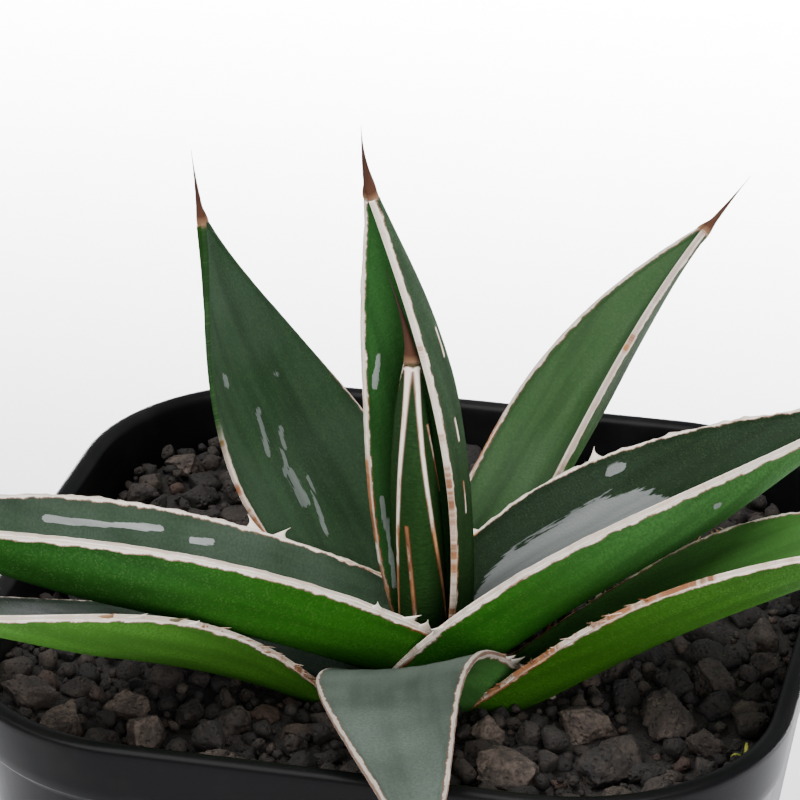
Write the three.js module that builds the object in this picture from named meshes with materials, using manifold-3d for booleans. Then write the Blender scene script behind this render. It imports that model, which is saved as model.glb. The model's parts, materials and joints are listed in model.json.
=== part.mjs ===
// Potted agave: a young rosette of nine stiff leaves in a square nursery pot, top-dressed with lava gravel.
// Millimetres, +Z up. The origin is the centre of the pot's underside, which stands on z = 0.
import * as THREE from "three";
import { mergeVertices } from "three/addons/utils/BufferGeometryUtils.js";
import Module from "manifold-3d";

const wasm = await Module();
wasm.setup();

// ---------------------------------------------------------------- driving dimensions
const GAP = 0.3; // air left between two pieces that touch

const POT = {
  height: 80,
  rimSide: 90,
  footSide: 64,
  rimCorner: 23.6,
  footCorner: 17,
  wall: 1.4,
  floor: 3,
  rimBand: 7, // height of the thicker band under the rim
  rimStep: 0.9, // how far that band stands out from the wall
  footRecess: 1.4, // the underside is hollowed this deep inside its foot ring
  footRing: 4.5,
  centrePad: 9,
  drainHole: 4,
  drainOffset: 17,
};

const SOIL_LEVEL = 76; // gravel surface above the ground the pot stands on
const PLANT_AXIS = new THREE.Vector2(3.5, -10.5); // the rosette stands a little in front of the middle

const STEM = { radius: 4.6, top: 1, bottom: -22, rootRadius: 1.1, rootLength: 34, roots: 5 };

const SPINE_LENGTH = 8.5;
const SPINE_RADIUS = 1.0;
const MARGIN_HALF = 0.9; // half width the blade keeps at its very tip, where the spine starts
const MARGIN_THICKNESS = 0.9;
const TOOTH = { length: 1.5, radius: 0.75 };

// Leaves, youngest first. bearing: compass direction of the midrib (degrees from +X) at base, middle and tip.
// rise: its angle above the horizon there. fold: how far each margin turns up from flat. roll: twist about
// the midrib. width: half width at the widest place, which lies at the fraction `widest` of the length.
// waist: base width over full width. crease: 1 is a round channel, 4 a sharp V. out/up: where the base
// leaves the stem, from the axis and from the soil. teeth: [fraction of length, side] of each hooked tooth.
const LEAVES = [
  { name: "leaf_1_spear", bearing: [-92, -87, -75], rise: [80, 74, 97], length: 35.5, width: 5.8,
    waist: 0.8, widest: 0.35, fold: [98, 106, 80], roll: [-20, -10, 0], out: 1.4, up: 3.6,
    thick: 1.5, crease: 1.5, taper: 1.7, teeth: [] },
  { name: "leaf_2_upright", bearing: [63, 75, 54], rise: [87, 104, 116], length: 58.5, width: 7,
    waist: 0.56, widest: 0.4, fold: [45, 64, 46], roll: [8, -2, 5], out: 2, up: 0.6, baseBearing: 50,
    thick: 2.5, crease: 4, taper: 1.7, teeth: [] },
  { name: "leaf_3_left", bearing: [216, 206, 191], rise: [30, 19, 15], length: 62, width: 9.3,
    waist: 0.86, widest: 0.4, fold: [50, 58, 50], roll: [-2, -9, -6], out: 3.3, up: 1.7,
    thick: 3.2, crease: 1.5, taper: 2.2,
    teeth: [[0.047, -1], [0.086, -1], [0.14, -1], [0.23, 1], [0.28, 1]] },
  { name: "leaf_4_right", bearing: [0, 9, 18], rise: [47, 32, 31], length: 54.5, width: 10.6,
    waist: 0.82, widest: 0.3, fold: [39, 44, 40], roll: [-4, 0, 0], out: 1.2, up: 0.7,
    thick: 4.5, crease: 1.5, taper: 1.7, teeth: [[0.14, -1], [0.44, -1], [0.12, 1]] },
  { name: "leaf_5_back_left", bearing: [150, 160, 173], rise: [53, 56, 83], length: 51, width: 10.3,
    waist: 0.75, widest: 0.42, fold: [43, 10, 22], roll: [0, 2, -8], out: 6.3, up: -1.6, baseBearing: 135,
    thick: 3, crease: 1.5, taper: 1.7, teeth: [[0.12, -1], [0.2, 1]] },
  { name: "leaf_6_front", bearing: [-122, -76, -73], rise: [50, 10, -15], length: 61, width: 7.6,
    waist: 1.15, widest: 0.25, fold: [12, 8, 20], roll: [-26, -6, 3], out: 5, up: -3.8, baseBearing: -28,
    thick: 3, crease: 1.5, taper: 1.5, teeth: [[0.08, -1], [0.13, -1], [0.18, -1], [0.2, 1]] },
  { name: "leaf_7_back_right", bearing: [69, 58, 47], rise: [42, 44, 40], length: 55, width: 5.6,
    waist: 0.77, widest: 0.5, fold: [40, 50, 50], roll: [0, 0, 0], out: 3.7, up: -1.5,
    thick: 2.1, crease: 2.5, taper: 1.7, teeth: [[0.16, 1]] },
  { name: "leaf_8_low_left", bearing: [192, 230, 203], rise: [26, 23, 15], length: 56.5, width: 7.9,
    waist: 0.8, widest: 0.48, fold: [14, 20, 24], roll: [10, -16, -6], out: 7.5, up: -3.1, baseBearing: 201,
    thick: 3.4, crease: 1.5, taper: 1.7, teeth: [[0.49, -1], [0.54, -1], [0.61, -1], [0.67, -1]] },
  { name: "leaf_9_low_right", bearing: [-12, -6, 8], rise: [37, 31, 7], length: 56.5, width: 8.4,
    waist: 0.6, widest: 0.48, fold: [32, 44, 40], roll: [-2, 4, 0], out: 9.5, up: -2.5,
    thick: 2.2, crease: 1.5, taper: 1.7, teeth: [[0.2, -1], [0.28, -1]] },
];

// Larger stones lying on the gravel: x, y of the middle, length, width, height, turn in degrees.
const STONES = [
  [17, -31.5, 8.5, 7.5, 6, 20],
  [23, -19.5, 7.5, 7, 6, 65],
  [30.5, -17, 11, 5.5, 6, 60],
  [34.5, -7.5, 6, 5, 5.5, 110],
  [26, -28.5, 7, 6, 5, 30],
  [32, -32.5, 5.5, 4, 4, 40],
  [36, -21, 5.5, 3.5, 4, 15],
  [36.5, -27, 3, 5.5, 4, 0],
  [17.5, -23.5, 3.5, 4.5, 4, 20],
  [13, -23.5, 4.5, 4, 4, -20],
  [39, -12.5, 4, 3.5, 3.5, 10],
  [39, -3, 4, 4, 4, 0],
  [-36, -27, 8, 4.5, 4.5, 20],
  [-31, -33, 6, 5.5, 5, 10],
  [-21.5, -32, 5, 5, 5, 10],
  [-25, -26.5, 7.5, 4, 4, 40],
  [-18.5, -27, 3.5, 4, 4, 0],
  [-13.5, -27.5, 5, 4.5, 4, 25],
  [-12.5, -36, 6.5, 4.5, 4.5, 20],
  [-6.5, -31, 3.5, 4, 4, 60],
  [-35, 30, 6, 5, 5, 30],
  [-38, 20, 4.5, 4, 3.5, 0],
  [-29, 36, 5, 4, 4, 10],
  [-10, 38, 5, 4.5, 4, 15],
  [13, 38, 5, 4, 4, 20],
  [20, 33, 4.5, 4, 4, -30],
];
const STONE_SINK = 0.45; // share of a stone's height that is bedded in the gravel

// ---------------------------------------------------------------- general helpers
const radians = THREE.MathUtils.degToRad;
const lerp = THREE.MathUtils.lerp;

/** Repeatable pseudo-random numbers in [0, 1). */
function makeRandom(seed) {
  let state = seed >>> 0;
  return () => {
    state = (Math.imul(state, 1664525) + 1013904223) >>> 0;
    return state / 2 ** 32;
  };
}

/** Quadratic through three values at 0, 0.5 and 1. */
function quadratic([start, middle, end], t) {
  return start * (1 - t) * (1 - 2 * t) + middle * 4 * t * (1 - t) + end * t * (2 * t - 1);
}

function centroid(points) {
  return points.reduce((sum, point) => sum.add(point), new THREE.Vector3()).divideScalar(points.length);
}

/** Cap that fans out from a point, by default the middle of the ring. */
function fanTo(point) {
  return (ring, first, points) => {
    points.push(point ?? centroid(ring));
    const hub = points.length - 1;
    return ring.map((_, k) => [hub, first + k, first + ((k + 1) % ring.length)]);
  };
}

/** Cap across a band-shaped ring, whose second half runs back beside its first. */
function acrossBand(ring, first) {
  const triangles = [];
  for (let k = 0; k < ring.length / 2 - 1; k++) {
    const back = ring.length - 1 - k;
    triangles.push([first + k, first + k + 1, first + back - 1], [first + k, first + back - 1, first + back]);
  }
  return triangles;
}

/** Closed surface through equal rings of points, with a cap at each end. */
function loft(rings, startCap = fanTo(), endCap = fanTo()) {
  const count = rings[0].length;
  const points = rings.flat();
  const index = [];
  for (let r = 0; r < rings.length - 1; r++) {
    for (let k = 0; k < count; k++) {
      const a = r * count + k;
      const b = r * count + ((k + 1) % count);
      index.push(a, b, b + count, a, b + count, a + count);
    }
  }
  startCap(rings[0], 0, points).forEach(([a, b, c]) => index.push(a, c, b));
  endCap(rings.at(-1), (rings.length - 1) * count, points).forEach((triangle) => index.push(...triangle));
  const geometry = new THREE.BufferGeometry().setFromPoints(points);
  geometry.setIndex(index);
  return geometry;
}

/** A closed three.js geometry as a manifold-3d solid. */
function toSolid(geometry) {
  const bare = geometry.clone();
  bare.deleteAttribute("normal");
  bare.deleteAttribute("uv");
  const merged = mergeVertices(bare, 1e-4);
  return new wasm.Manifold(new wasm.Mesh({
    numProp: 3,
    vertProperties: new Float32Array(merged.attributes.position.array),
    triVerts: new Uint32Array(merged.index.array),
  }));
}

/** A manifold-3d solid as a three.js geometry. */
function toGeometry(solid) {
  const mesh = solid.getMesh();
  const geometry = new THREE.BufferGeometry();
  geometry.setAttribute("position", new THREE.BufferAttribute(new Float32Array(mesh.vertProperties), 3));
  geometry.setIndex(new THREE.BufferAttribute(new Uint32Array(mesh.triVerts), 1));
  geometry.computeVertexNormals();
  return geometry;
}

/** What is left of a solid after a cut: its biggest body, without slivers or tiny edges. */
function cutBody(solid, tool) {
  const bodies = solid.subtract(tool).simplify(0.05).decompose();
  return bodies.reduce((best, body) => (body.volume() > best.volume() ? body : best));
}

function moved(geometry, x, y, z) {
  return toSolid(geometry.translate(x, y, z));
}

// ---------------------------------------------------------------- pot
/** Ring of points round a square with rounded corners. */
function roundedSquare(half, corner, z, arcSteps = 4) {
  const ring = [];
  for (let quarter = 0; quarter < 4; quarter++) {
    for (let step = 0; step <= arcSteps; step++) {
      const angle = radians(quarter * 90 + (step * 90) / arcSteps);
      const centre = new THREE.Vector2(half - corner, half - corner)
        .rotateAround(new THREE.Vector2(), radians(quarter * 90));
      const x = centre.x + corner * Math.cos(angle);
      const y = centre.y + corner * Math.sin(angle);
      ring.push(new THREE.Vector3(x, y, z));
    }
  }
  return ring;
}

/** Half side and corner radius of the pot's outer wall at height z. */
function potOutline(z) {
  const share = z / POT.height;
  const half = lerp(POT.footSide / 2, POT.rimSide / 2 - POT.rimStep, share);
  const corner = lerp(POT.footCorner, POT.rimCorner - POT.rimStep, share);
  return [half, corner];
}

function potRing(z, inset) {
  const [half, corner] = potOutline(z);
  return roundedSquare(half - inset, corner - inset, z);
}

function makePot() {
  const { height, wall, rimStep, rimBand, floor } = POT;
  const bandBottom = height - rimBand;
  const shell = toSolid(loft([
    potRing(0, 0.8),
    potRing(0.8, 0),
    potRing(bandBottom - 0.6, 0),
    potRing(bandBottom, -rimStep),
    potRing(height - 0.7, -rimStep),
    potRing(height, 0.5 - rimStep),
    potRing(height, wall - 0.5),
    potRing(height - 0.6, wall),
    potRing(floor + 1.5, wall),
    potRing(floor, wall + 1.5),
  ]));
  return shell.subtract(makePotUnderside());
}

/** What the mould takes out of the underside: a shallow recess round a centre pad, slots and drain holes. */
function makePotUnderside() {
  const { footSide, footCorner, footRing, footRecess, centrePad, drainHole, drainOffset, floor } = POT;
  const half = footSide / 2 - footRing;
  const corner = footCorner - footRing;
  const recess = toSolid(loft([roundedSquare(half, corner, -1), roundedSquare(half, corner, footRecess)]));
  const pad = moved(new THREE.CylinderGeometry(centrePad, centrePad, 10, 24).rotateX(Math.PI / 2), 0, 0, 0);
  let tool = recess.subtract(pad);
  for (const slotSize of [[footSide + 4, 6], [6, footSide + 4]]) {
    const slot = moved(new THREE.BoxGeometry(...slotSize, 2 * footRecess), 0, 0, 0);
    tool = tool.add(slot.subtract(pad));
  }
  for (let hole = 0; hole < 8; hole++) {
    const angle = radians(hole * 45);
    const drill = new THREE.CylinderGeometry(drainHole, drainHole, 4 * floor, 10).rotateX(Math.PI / 2);
    tool = tool.add(moved(drill, drainOffset * Math.cos(angle), drainOffset * Math.sin(angle), 0));
  }
  return tool;
}

// ---------------------------------------------------------------- leaves
/** Half width of the blade, without the horny margin, at fraction t of its length. */
function halfWidth(leaf, t) {
  if (t < leaf.widest) {
    return leaf.width * (leaf.waist + (1 - leaf.waist) * Math.sin((Math.PI / 2) * (t / leaf.widest)));
  }
  return leaf.width * (1 - ((t - leaf.widest) / (1 - leaf.widest)) ** leaf.taper);
}

/** Where the leaf starts on the stem. */
function leafBase(leaf) {
  const bearing = radians(leaf.baseBearing ?? leaf.bearing[0]);
  return new THREE.Vector3(
    PLANT_AXIS.x + leaf.out * Math.cos(bearing),
    PLANT_AXIS.y + leaf.out * Math.sin(bearing),
    SOIL_LEVEL + leaf.up,
  );
}

/** Axes at fraction t: along the leaf, across it (towards side +1) and out of its upper face. */
function leafAxes(leaf, t) {
  const bearing = radians(quadratic(leaf.bearing, t));
  const rise = radians(quadratic(leaf.rise, t));
  const roll = radians(quadratic(leaf.roll, t));
  const along = new THREE.Vector3(
    Math.cos(bearing) * Math.cos(rise), Math.sin(bearing) * Math.cos(rise), Math.sin(rise));
  const across = new THREE.Vector3(Math.sin(bearing), -Math.cos(bearing), 0).applyAxisAngle(along, -roll);
  const above = new THREE.Vector3().crossVectors(across, along);
  return { along, across, above };
}

/** Stations down the midrib: the fraction t, the point and the axes there. */
function midrib(leaf, steps) {
  const stations = [{ t: 0, point: leafBase(leaf), ...leafAxes(leaf, 0) }];
  for (let i = 1; i <= steps; i++) {
    const before = stations[i - 1];
    const axes = leafAxes(leaf, i / steps);
    const mean = before.along.clone().add(axes.along).multiplyScalar(leaf.length / steps / 2);
    stations.push({ t: i / steps, point: before.point.clone().add(mean), ...axes });
  }
  return stations;
}

/** Cross-section of the upper face for a unit half width: points and slopes from side -1 to side +1. */
function channel(fold, crease, count) {
  const fine = 4;
  const side = [];
  let x = 0;
  let y = 0;
  const half = (count - 1) / 2;
  for (let i = 0; i <= half * fine; i++) {
    const u = i / (half * fine);
    const slope = (fold * Math.tanh(crease * u)) / Math.tanh(crease);
    if (i % fine === 0) side.push({ u, x, y, slope });
    x += Math.cos(slope) / (half * fine);
    y += Math.sin(slope) / (half * fine);
  }
  const mirrored = side.slice(1).reverse().map(({ u, x, y, slope }) => ({ u: -u, x: -x, y, slope: -slope }));
  return [...mirrored, ...side];
}

/** Ring round the blade at one station; grow makes it fatter all round. */
function bladeRing(leaf, station, grow, count) {
  const { t, point, across, above } = station;
  const width = halfWidth(leaf, t) + MARGIN_HALF;
  const thick = Math.min(leaf.thick * (1 - 0.35 * t), 0.9 * width);
  const section = channel(radians(quadratic(leaf.fold, t)), leaf.crease, count);
  // A point of the section moved out of the upper face by `lift`, and outwards at the two margins.
  const place = ({ u, x, y, slope }, lift) => {
    const out = Math.abs(u) > 0.999 ? grow * Math.sign(u) : 0;
    return point.clone()
      .addScaledVector(across, x * width - Math.sin(slope) * lift + Math.cos(slope) * out)
      .addScaledVector(above, y * width + Math.cos(slope) * lift + Math.sin(slope) * out);
  };
  const upper = section.map((part) => place(part, grow));
  const lower = section.map((part) => place(part, -thick * (1 - part.u ** 2) - MARGIN_THICKNESS - grow));
  return [...upper, ...lower.reverse()];
}

/** Ring round the terminal spine, with as many points as the blade's rings. */
function spineRing(centre, { across, above }, radius, count) {
  const ring = [];
  for (let k = 0; k < 2 * count; k++) {
    const angle = Math.PI * (1 + (k + 0.5) / count);
    ring.push(centre.clone()
      .addScaledVector(across, -radius * Math.cos(angle + Math.PI))
      .addScaledVector(above, -radius * Math.sin(angle)));
  }
  return ring;
}

/** Whole leaf as one skin: buried foot, blade and terminal spine. */
function leafGeometry(leaf, grow, steps = 12, count = 7) {
  const stations = midrib(leaf, steps);
  const first = stations[0];
  const last = stations.at(-1);
  const footLength = 0.5 + 0.85 * leaf.out + grow;
  const foot = { ...first, point: first.point.clone().addScaledVector(first.along, -footLength) };
  const rings = [foot, ...stations].map((station) => bladeRing(leaf, station, grow, count));
  const spineCentre = last.point.clone().addScaledVector(last.above, -0.6);
  for (const share of [0.12, 0.5]) {
    const centre = spineCentre.clone().addScaledVector(last.along, share * SPINE_LENGTH);
    rings.push(spineRing(centre, last, SPINE_RADIUS * (1 - share) ** 0.8 + grow, count));
  }
  const tip = spineCentre.clone().addScaledVector(last.along, SPINE_LENGTH + grow);
  return loft(rings, acrossBand, fanTo(tip));
}

/** A hooked tooth standing out of a margin, side -1 or +1, at fraction t. */
function toothSolid(leaf, t, side, grow) {
  const steps = 40;
  const station = midrib(leaf, steps)[Math.round(t * steps)];
  const ring = bladeRing(leaf, station, 0, 3);
  const edge = side < 0 ? ring[0].clone().lerp(ring[5], 0.5) : ring[2].clone().lerp(ring[3], 0.5);
  const outward = edge.clone().sub(ring[1].clone().lerp(ring[4], 0.5)).normalize();
  const cone = new THREE.ConeGeometry(TOOTH.radius + grow, 2 * (TOOTH.length + grow), 5);
  const lean = outward.clone().addScaledVector(station.along, -0.5).normalize();
  cone.applyQuaternion(new THREE.Quaternion().setFromUnitVectors(new THREE.Vector3(0, 1, 0), lean));
  return moved(cone, edge.x, edge.y, edge.z);
}

/** Blade, spine and teeth as one body; grow makes it fatter all round. */
function leafSolid(leaf, grow = 0) {
  const blade = toSolid(leafGeometry(leaf, grow));
  return leaf.teeth.reduce((solid, [t, side]) => solid.add(toothSolid(leaf, t, side, grow)), blade);
}

// ---------------------------------------------------------------- stem, gravel and stones
/** Short stem with roots that spread out and down; grow makes it fatter all round. */
function stemSolid(grow = 0) {
  const { radius, top, bottom, rootRadius, rootLength, roots } = STEM;
  const profile = [
    [0, bottom - grow], [radius * 0.5 + grow, bottom - grow], [radius * 0.9 + grow, bottom + 8],
    [radius + grow, top - 9], [radius * 0.5 + grow, top - 1], [radius * 0.25, top + grow], [0, top + grow],
  ].map(([r, z]) => new THREE.Vector2(r, z));
  const stem = new THREE.LatheGeometry(profile, 16).rotateX(Math.PI / 2);
  let solid = moved(stem, PLANT_AXIS.x, PLANT_AXIS.y, SOIL_LEVEL);
  for (let k = 0; k < roots; k++) {
    solid = solid.add(toSolid(rootGeometry(k, rootRadius, rootLength, grow)));
  }
  return solid;
}

/** One root: a tapering tube that leaves the stem sideways and turns down. */
function rootGeometry(index, radius, length, grow) {
  const bearing = radians(25 + (index * 360) / STEM.roots);
  const outward = new THREE.Vector3(Math.cos(bearing), Math.sin(bearing), 0);
  const sideways = new THREE.Vector3(-outward.y, outward.x, 0);
  const start = new THREE.Vector3(PLANT_AXIS.x, PLANT_AXIS.y, SOIL_LEVEL + STEM.bottom + 3 + 2 * (index % 3));
  const steps = 6;
  const rings = [];
  for (let i = 0; i <= steps; i++) {
    const t = (i / steps) * (1 + grow / length);
    const centre = start.clone()
      .addScaledVector(outward, 0.5 * length * Math.sin(t * 1.4))
      .addScaledVector(sideways, 1.5 * Math.sin(5 * t + index));
    centre.z -= 0.8 * length * t * t;
    const slope = new THREE.Vector3(0, 0, 1).addScaledVector(outward, t).normalize();
    rings.push(rootRing(centre, sideways, slope, radius * (1 - 0.6 * t) + grow));
  }
  return loft(rings);
}

function rootRing(centre, sideways, upward, radius, count = 5) {
  return Array.from({ length: count }, (_, k) => {
    const angle = (2 * Math.PI * k) / count;
    return centre.clone()
      .addScaledVector(sideways, radius * Math.cos(angle))
      .addScaledVector(upward, radius * Math.sin(angle));
  });
}

/** The lava gravel that fills the pot, as one lumpy body. */
function substrateSolid() {
  const random = makeRandom(7);
  const inset = POT.wall + GAP;
  const top = SOIL_LEVEL - 1.6;
  const bottom = POT.floor + GAP;
  const rings = [potRing(bottom, inset + 1.6), potRing(bottom + 1.6, inset), potRing(top - 0.6, inset)];
  const [half, corner] = potOutline(top);
  for (const share of [0.97, 0.86, 0.74, 0.62, 0.5, 0.38, 0.26, 0.13]) {
    const ring = roundedSquare((half - inset) * share, (corner - inset) * share, top);
    ring.forEach((point) => { point.z += 1.6 * (random() - 0.5); });
    rings.push(ring);
  }
  return toSolid(loft(rings));
}

/** One angular stone: a faceted ball with its corners pushed in and out. */
function stoneSolid([x, y, length, width, height, turn], seed, grow = 0) {
  const random = makeRandom(seed);
  const geometry = new THREE.IcosahedronGeometry(1, 1);
  geometry.deleteAttribute("normal");
  geometry.deleteAttribute("uv");
  const merged = mergeVertices(geometry, 1e-4);
  const position = merged.attributes.position;
  for (let i = 0; i < position.count; i++) {
    const point = new THREE.Vector3().fromBufferAttribute(position, i);
    point.multiplyScalar(0.8 + 0.28 * random());
    point.multiply(new THREE.Vector3(length / 2 + grow, width / 2 + grow, height / 2 + grow));
    position.setXYZ(i, point.x, point.y, point.z);
  }
  merged.rotateZ(radians(turn));
  return moved(merged, x, y, SOIL_LEVEL - 1.6 + height * (0.5 - STONE_SINK));
}

// ---------------------------------------------------------------- materials
function material(name, color, roughness) {
  return new THREE.MeshStandardMaterial({ name, color, roughness, metalness: 0 });
}

const MATERIALS = {
  pot: material("black_plastic", 0x1b1b1e, 0.35),
  gravel: material("lava_gravel", 0x2b221f, 0.95),
  stone: material("lava_stone", 0x3a2f2a, 0.95),
  stem: material("stem", 0xb59c6c, 0.8),
  leaf: material("leaf", 0x2f6a2f, 0.5),
};

// ---------------------------------------------------------------- assembly
const agave = new THREE.Group();
agave.name = "potted_agave";

function addPiece(name, solid, material) {
  const mesh = new THREE.Mesh(toGeometry(solid), material);
  mesh.name = name;
  agave.add(mesh);
  return mesh;
}

addPiece("pot", makePot(), MATERIALS.pot);

const grownStem = stemSolid(GAP);
addPiece("stem_and_roots", stemSolid(), MATERIALS.stem);

// A younger leaf sits inside the older ones, so each leaf is cut back from the stem and all younger leaves.
let plantSpace = grownStem;
for (const leaf of LEAVES) {
  addPiece(leaf.name, cutBody(leafSolid(leaf), plantSpace), MATERIALS.leaf);
  plantSpace = plantSpace.add(leafSolid(leaf, GAP));
}

let stoneSpace = null;
STONES.forEach((stone, k) => {
  const name = `stone_${String(k + 1).padStart(2, "0")}`;
  addPiece(name, stoneSolid(stone, 100 + k), MATERIALS.stone);
  const grown = stoneSolid(stone, 100 + k, GAP);
  stoneSpace = stoneSpace ? stoneSpace.add(grown) : grown;
});

addPiece("substrate", cutBody(substrateSolid(), plantSpace.add(stoneSpace)), MATERIALS.gravel);

export default agave;
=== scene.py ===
"""Looks of a young agave in a square nursery pot, laid out as a Blender add-on and run as a script.

Sizes in the formulas are millimetres, as in the part's own source; they turn to metres when a mesh is made.
"""

import json
import math
from dataclasses import dataclass
from functools import partial
from types import SimpleNamespace

import bmesh
import bpy
import numpy as np
from bpy.props import FloatProperty, FloatVectorProperty, IntProperty, PointerProperty
from mathutils import Euler, Matrix, Vector, kdtree, noise

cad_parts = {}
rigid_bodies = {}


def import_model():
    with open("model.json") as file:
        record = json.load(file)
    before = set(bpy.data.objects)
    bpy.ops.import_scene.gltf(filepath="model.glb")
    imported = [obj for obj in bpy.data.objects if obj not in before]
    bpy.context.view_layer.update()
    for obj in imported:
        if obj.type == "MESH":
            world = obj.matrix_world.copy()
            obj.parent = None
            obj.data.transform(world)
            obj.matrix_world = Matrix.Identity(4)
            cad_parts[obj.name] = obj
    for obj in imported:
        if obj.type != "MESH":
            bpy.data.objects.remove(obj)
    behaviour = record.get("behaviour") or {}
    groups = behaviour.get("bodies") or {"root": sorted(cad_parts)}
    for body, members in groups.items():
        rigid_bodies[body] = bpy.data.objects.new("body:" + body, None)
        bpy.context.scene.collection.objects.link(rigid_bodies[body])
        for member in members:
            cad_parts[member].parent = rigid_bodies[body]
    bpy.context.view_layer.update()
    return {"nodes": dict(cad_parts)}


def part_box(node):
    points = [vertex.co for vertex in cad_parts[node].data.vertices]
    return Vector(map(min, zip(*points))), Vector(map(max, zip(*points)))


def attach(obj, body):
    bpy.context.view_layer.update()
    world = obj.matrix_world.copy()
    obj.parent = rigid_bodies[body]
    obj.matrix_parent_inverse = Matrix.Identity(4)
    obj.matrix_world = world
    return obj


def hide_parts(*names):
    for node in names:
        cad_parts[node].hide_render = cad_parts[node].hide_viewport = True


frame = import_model()

bl_info = {
    "name": "Potted agave",
    "version": (1, 0, 0),
    "blender": (4, 5, 0),
    "location": "3D View > Sidebar > Agave",
    "description": "Builds a young agave in a square nursery pot",
    "category": "Add Mesh",
}

MM = 0.001
SOIL_LEVEL = 76.0
PLANT_AXIS = np.array([3.5, -10.5])  # where the stem stands in the pot
SPINE_LENGTH = 8.5
MARGIN_HALF = 0.9  # width that the horny margin adds on each side of a blade


# ------------------------------------------------------------------ leaves: shape and looks
@dataclass
class Leaf:
    """One leaf. Triples are values at the base, middle and tip; angles are in degrees, sizes in mm.

    A stroke is (face, t, u, t, u, half width): a line on the skin from one place to another, where t runs
    from the base 0 to the tip 1 and u across the leaf from -1 to +1.
    """

    name: str
    bearing: tuple  # which way the leaf points, turned from +X
    rise: tuple  # how steeply it rises
    length: float
    width: float  # half width at the widest place
    waist: float  # share of that width at the base
    widest: float  # share of the length at which it is widest
    fold: tuple  # how steeply its sides turn up
    roll: tuple  # how far it turns about its own length
    out: float  # distance of its base from the stem's middle
    up: float  # height of its base over the soil
    thick: float
    crease: float = 1.5  # how closely the fold gathers at the middle
    taper: float = 1.7  # how full the far half stays before it narrows
    base_bearing: float = None  # side of the stem that its base is on, if not where it points
    teeth: tuple = ()  # (share of the length, side) of each tooth
    frays: tuple = ()  # (from, to, side): stretches of margin that have weathered to fibres
    scars: tuple = ()  # strokes where the wax film has rubbed off or lifted
    ribs: tuple = ()  # strokes of the same horny stuff as the margin
    margin: float = 0.4  # how far the horny margin reaches in from the edge
    ragged: float = 0.12  # how unevenly the margin's outer edge has grown
    stain: float = 0.3  # share of the margin that has turned rusty
    spine_bend: tuple = (0.0, 0.0, 0.0)  # how far the spine's tip has grown away from straight
    spine_radius: float = 0.8
    upper: str = "#33492F"  # skin of the channelled upper face
    under: str = "#214A14"  # skin of the rounded back
    foot: str = "#2C6A0A"  # skin of the back near the stem
    bloom: float = 0.3  # share of pale wax on the upper face
    film: float = 0.6  # how far a lifted film hides the skin
    film_colour: str = "#A4A9A8"  # the film where it is thickest
    film_ragged: float = 0.35  # how far the ends of the lifted film are torn, in mm
    ripple: float = 0.12  # strength of the fine cross ripples in the skin
    speckle: float = 0.1  # how pale the pores on the back are
    gloss: float = 0.14  # share of the skin that still has its smooth wax
    bare_from: float = 1.5  # share of the length from which the margin has no horn
    dull: float = 0.0  # how far the horn is painted grey, as painted shade where the margin lies in shadow
    rim: float = 0.5  # how much of the margin's outer edge has browned


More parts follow.
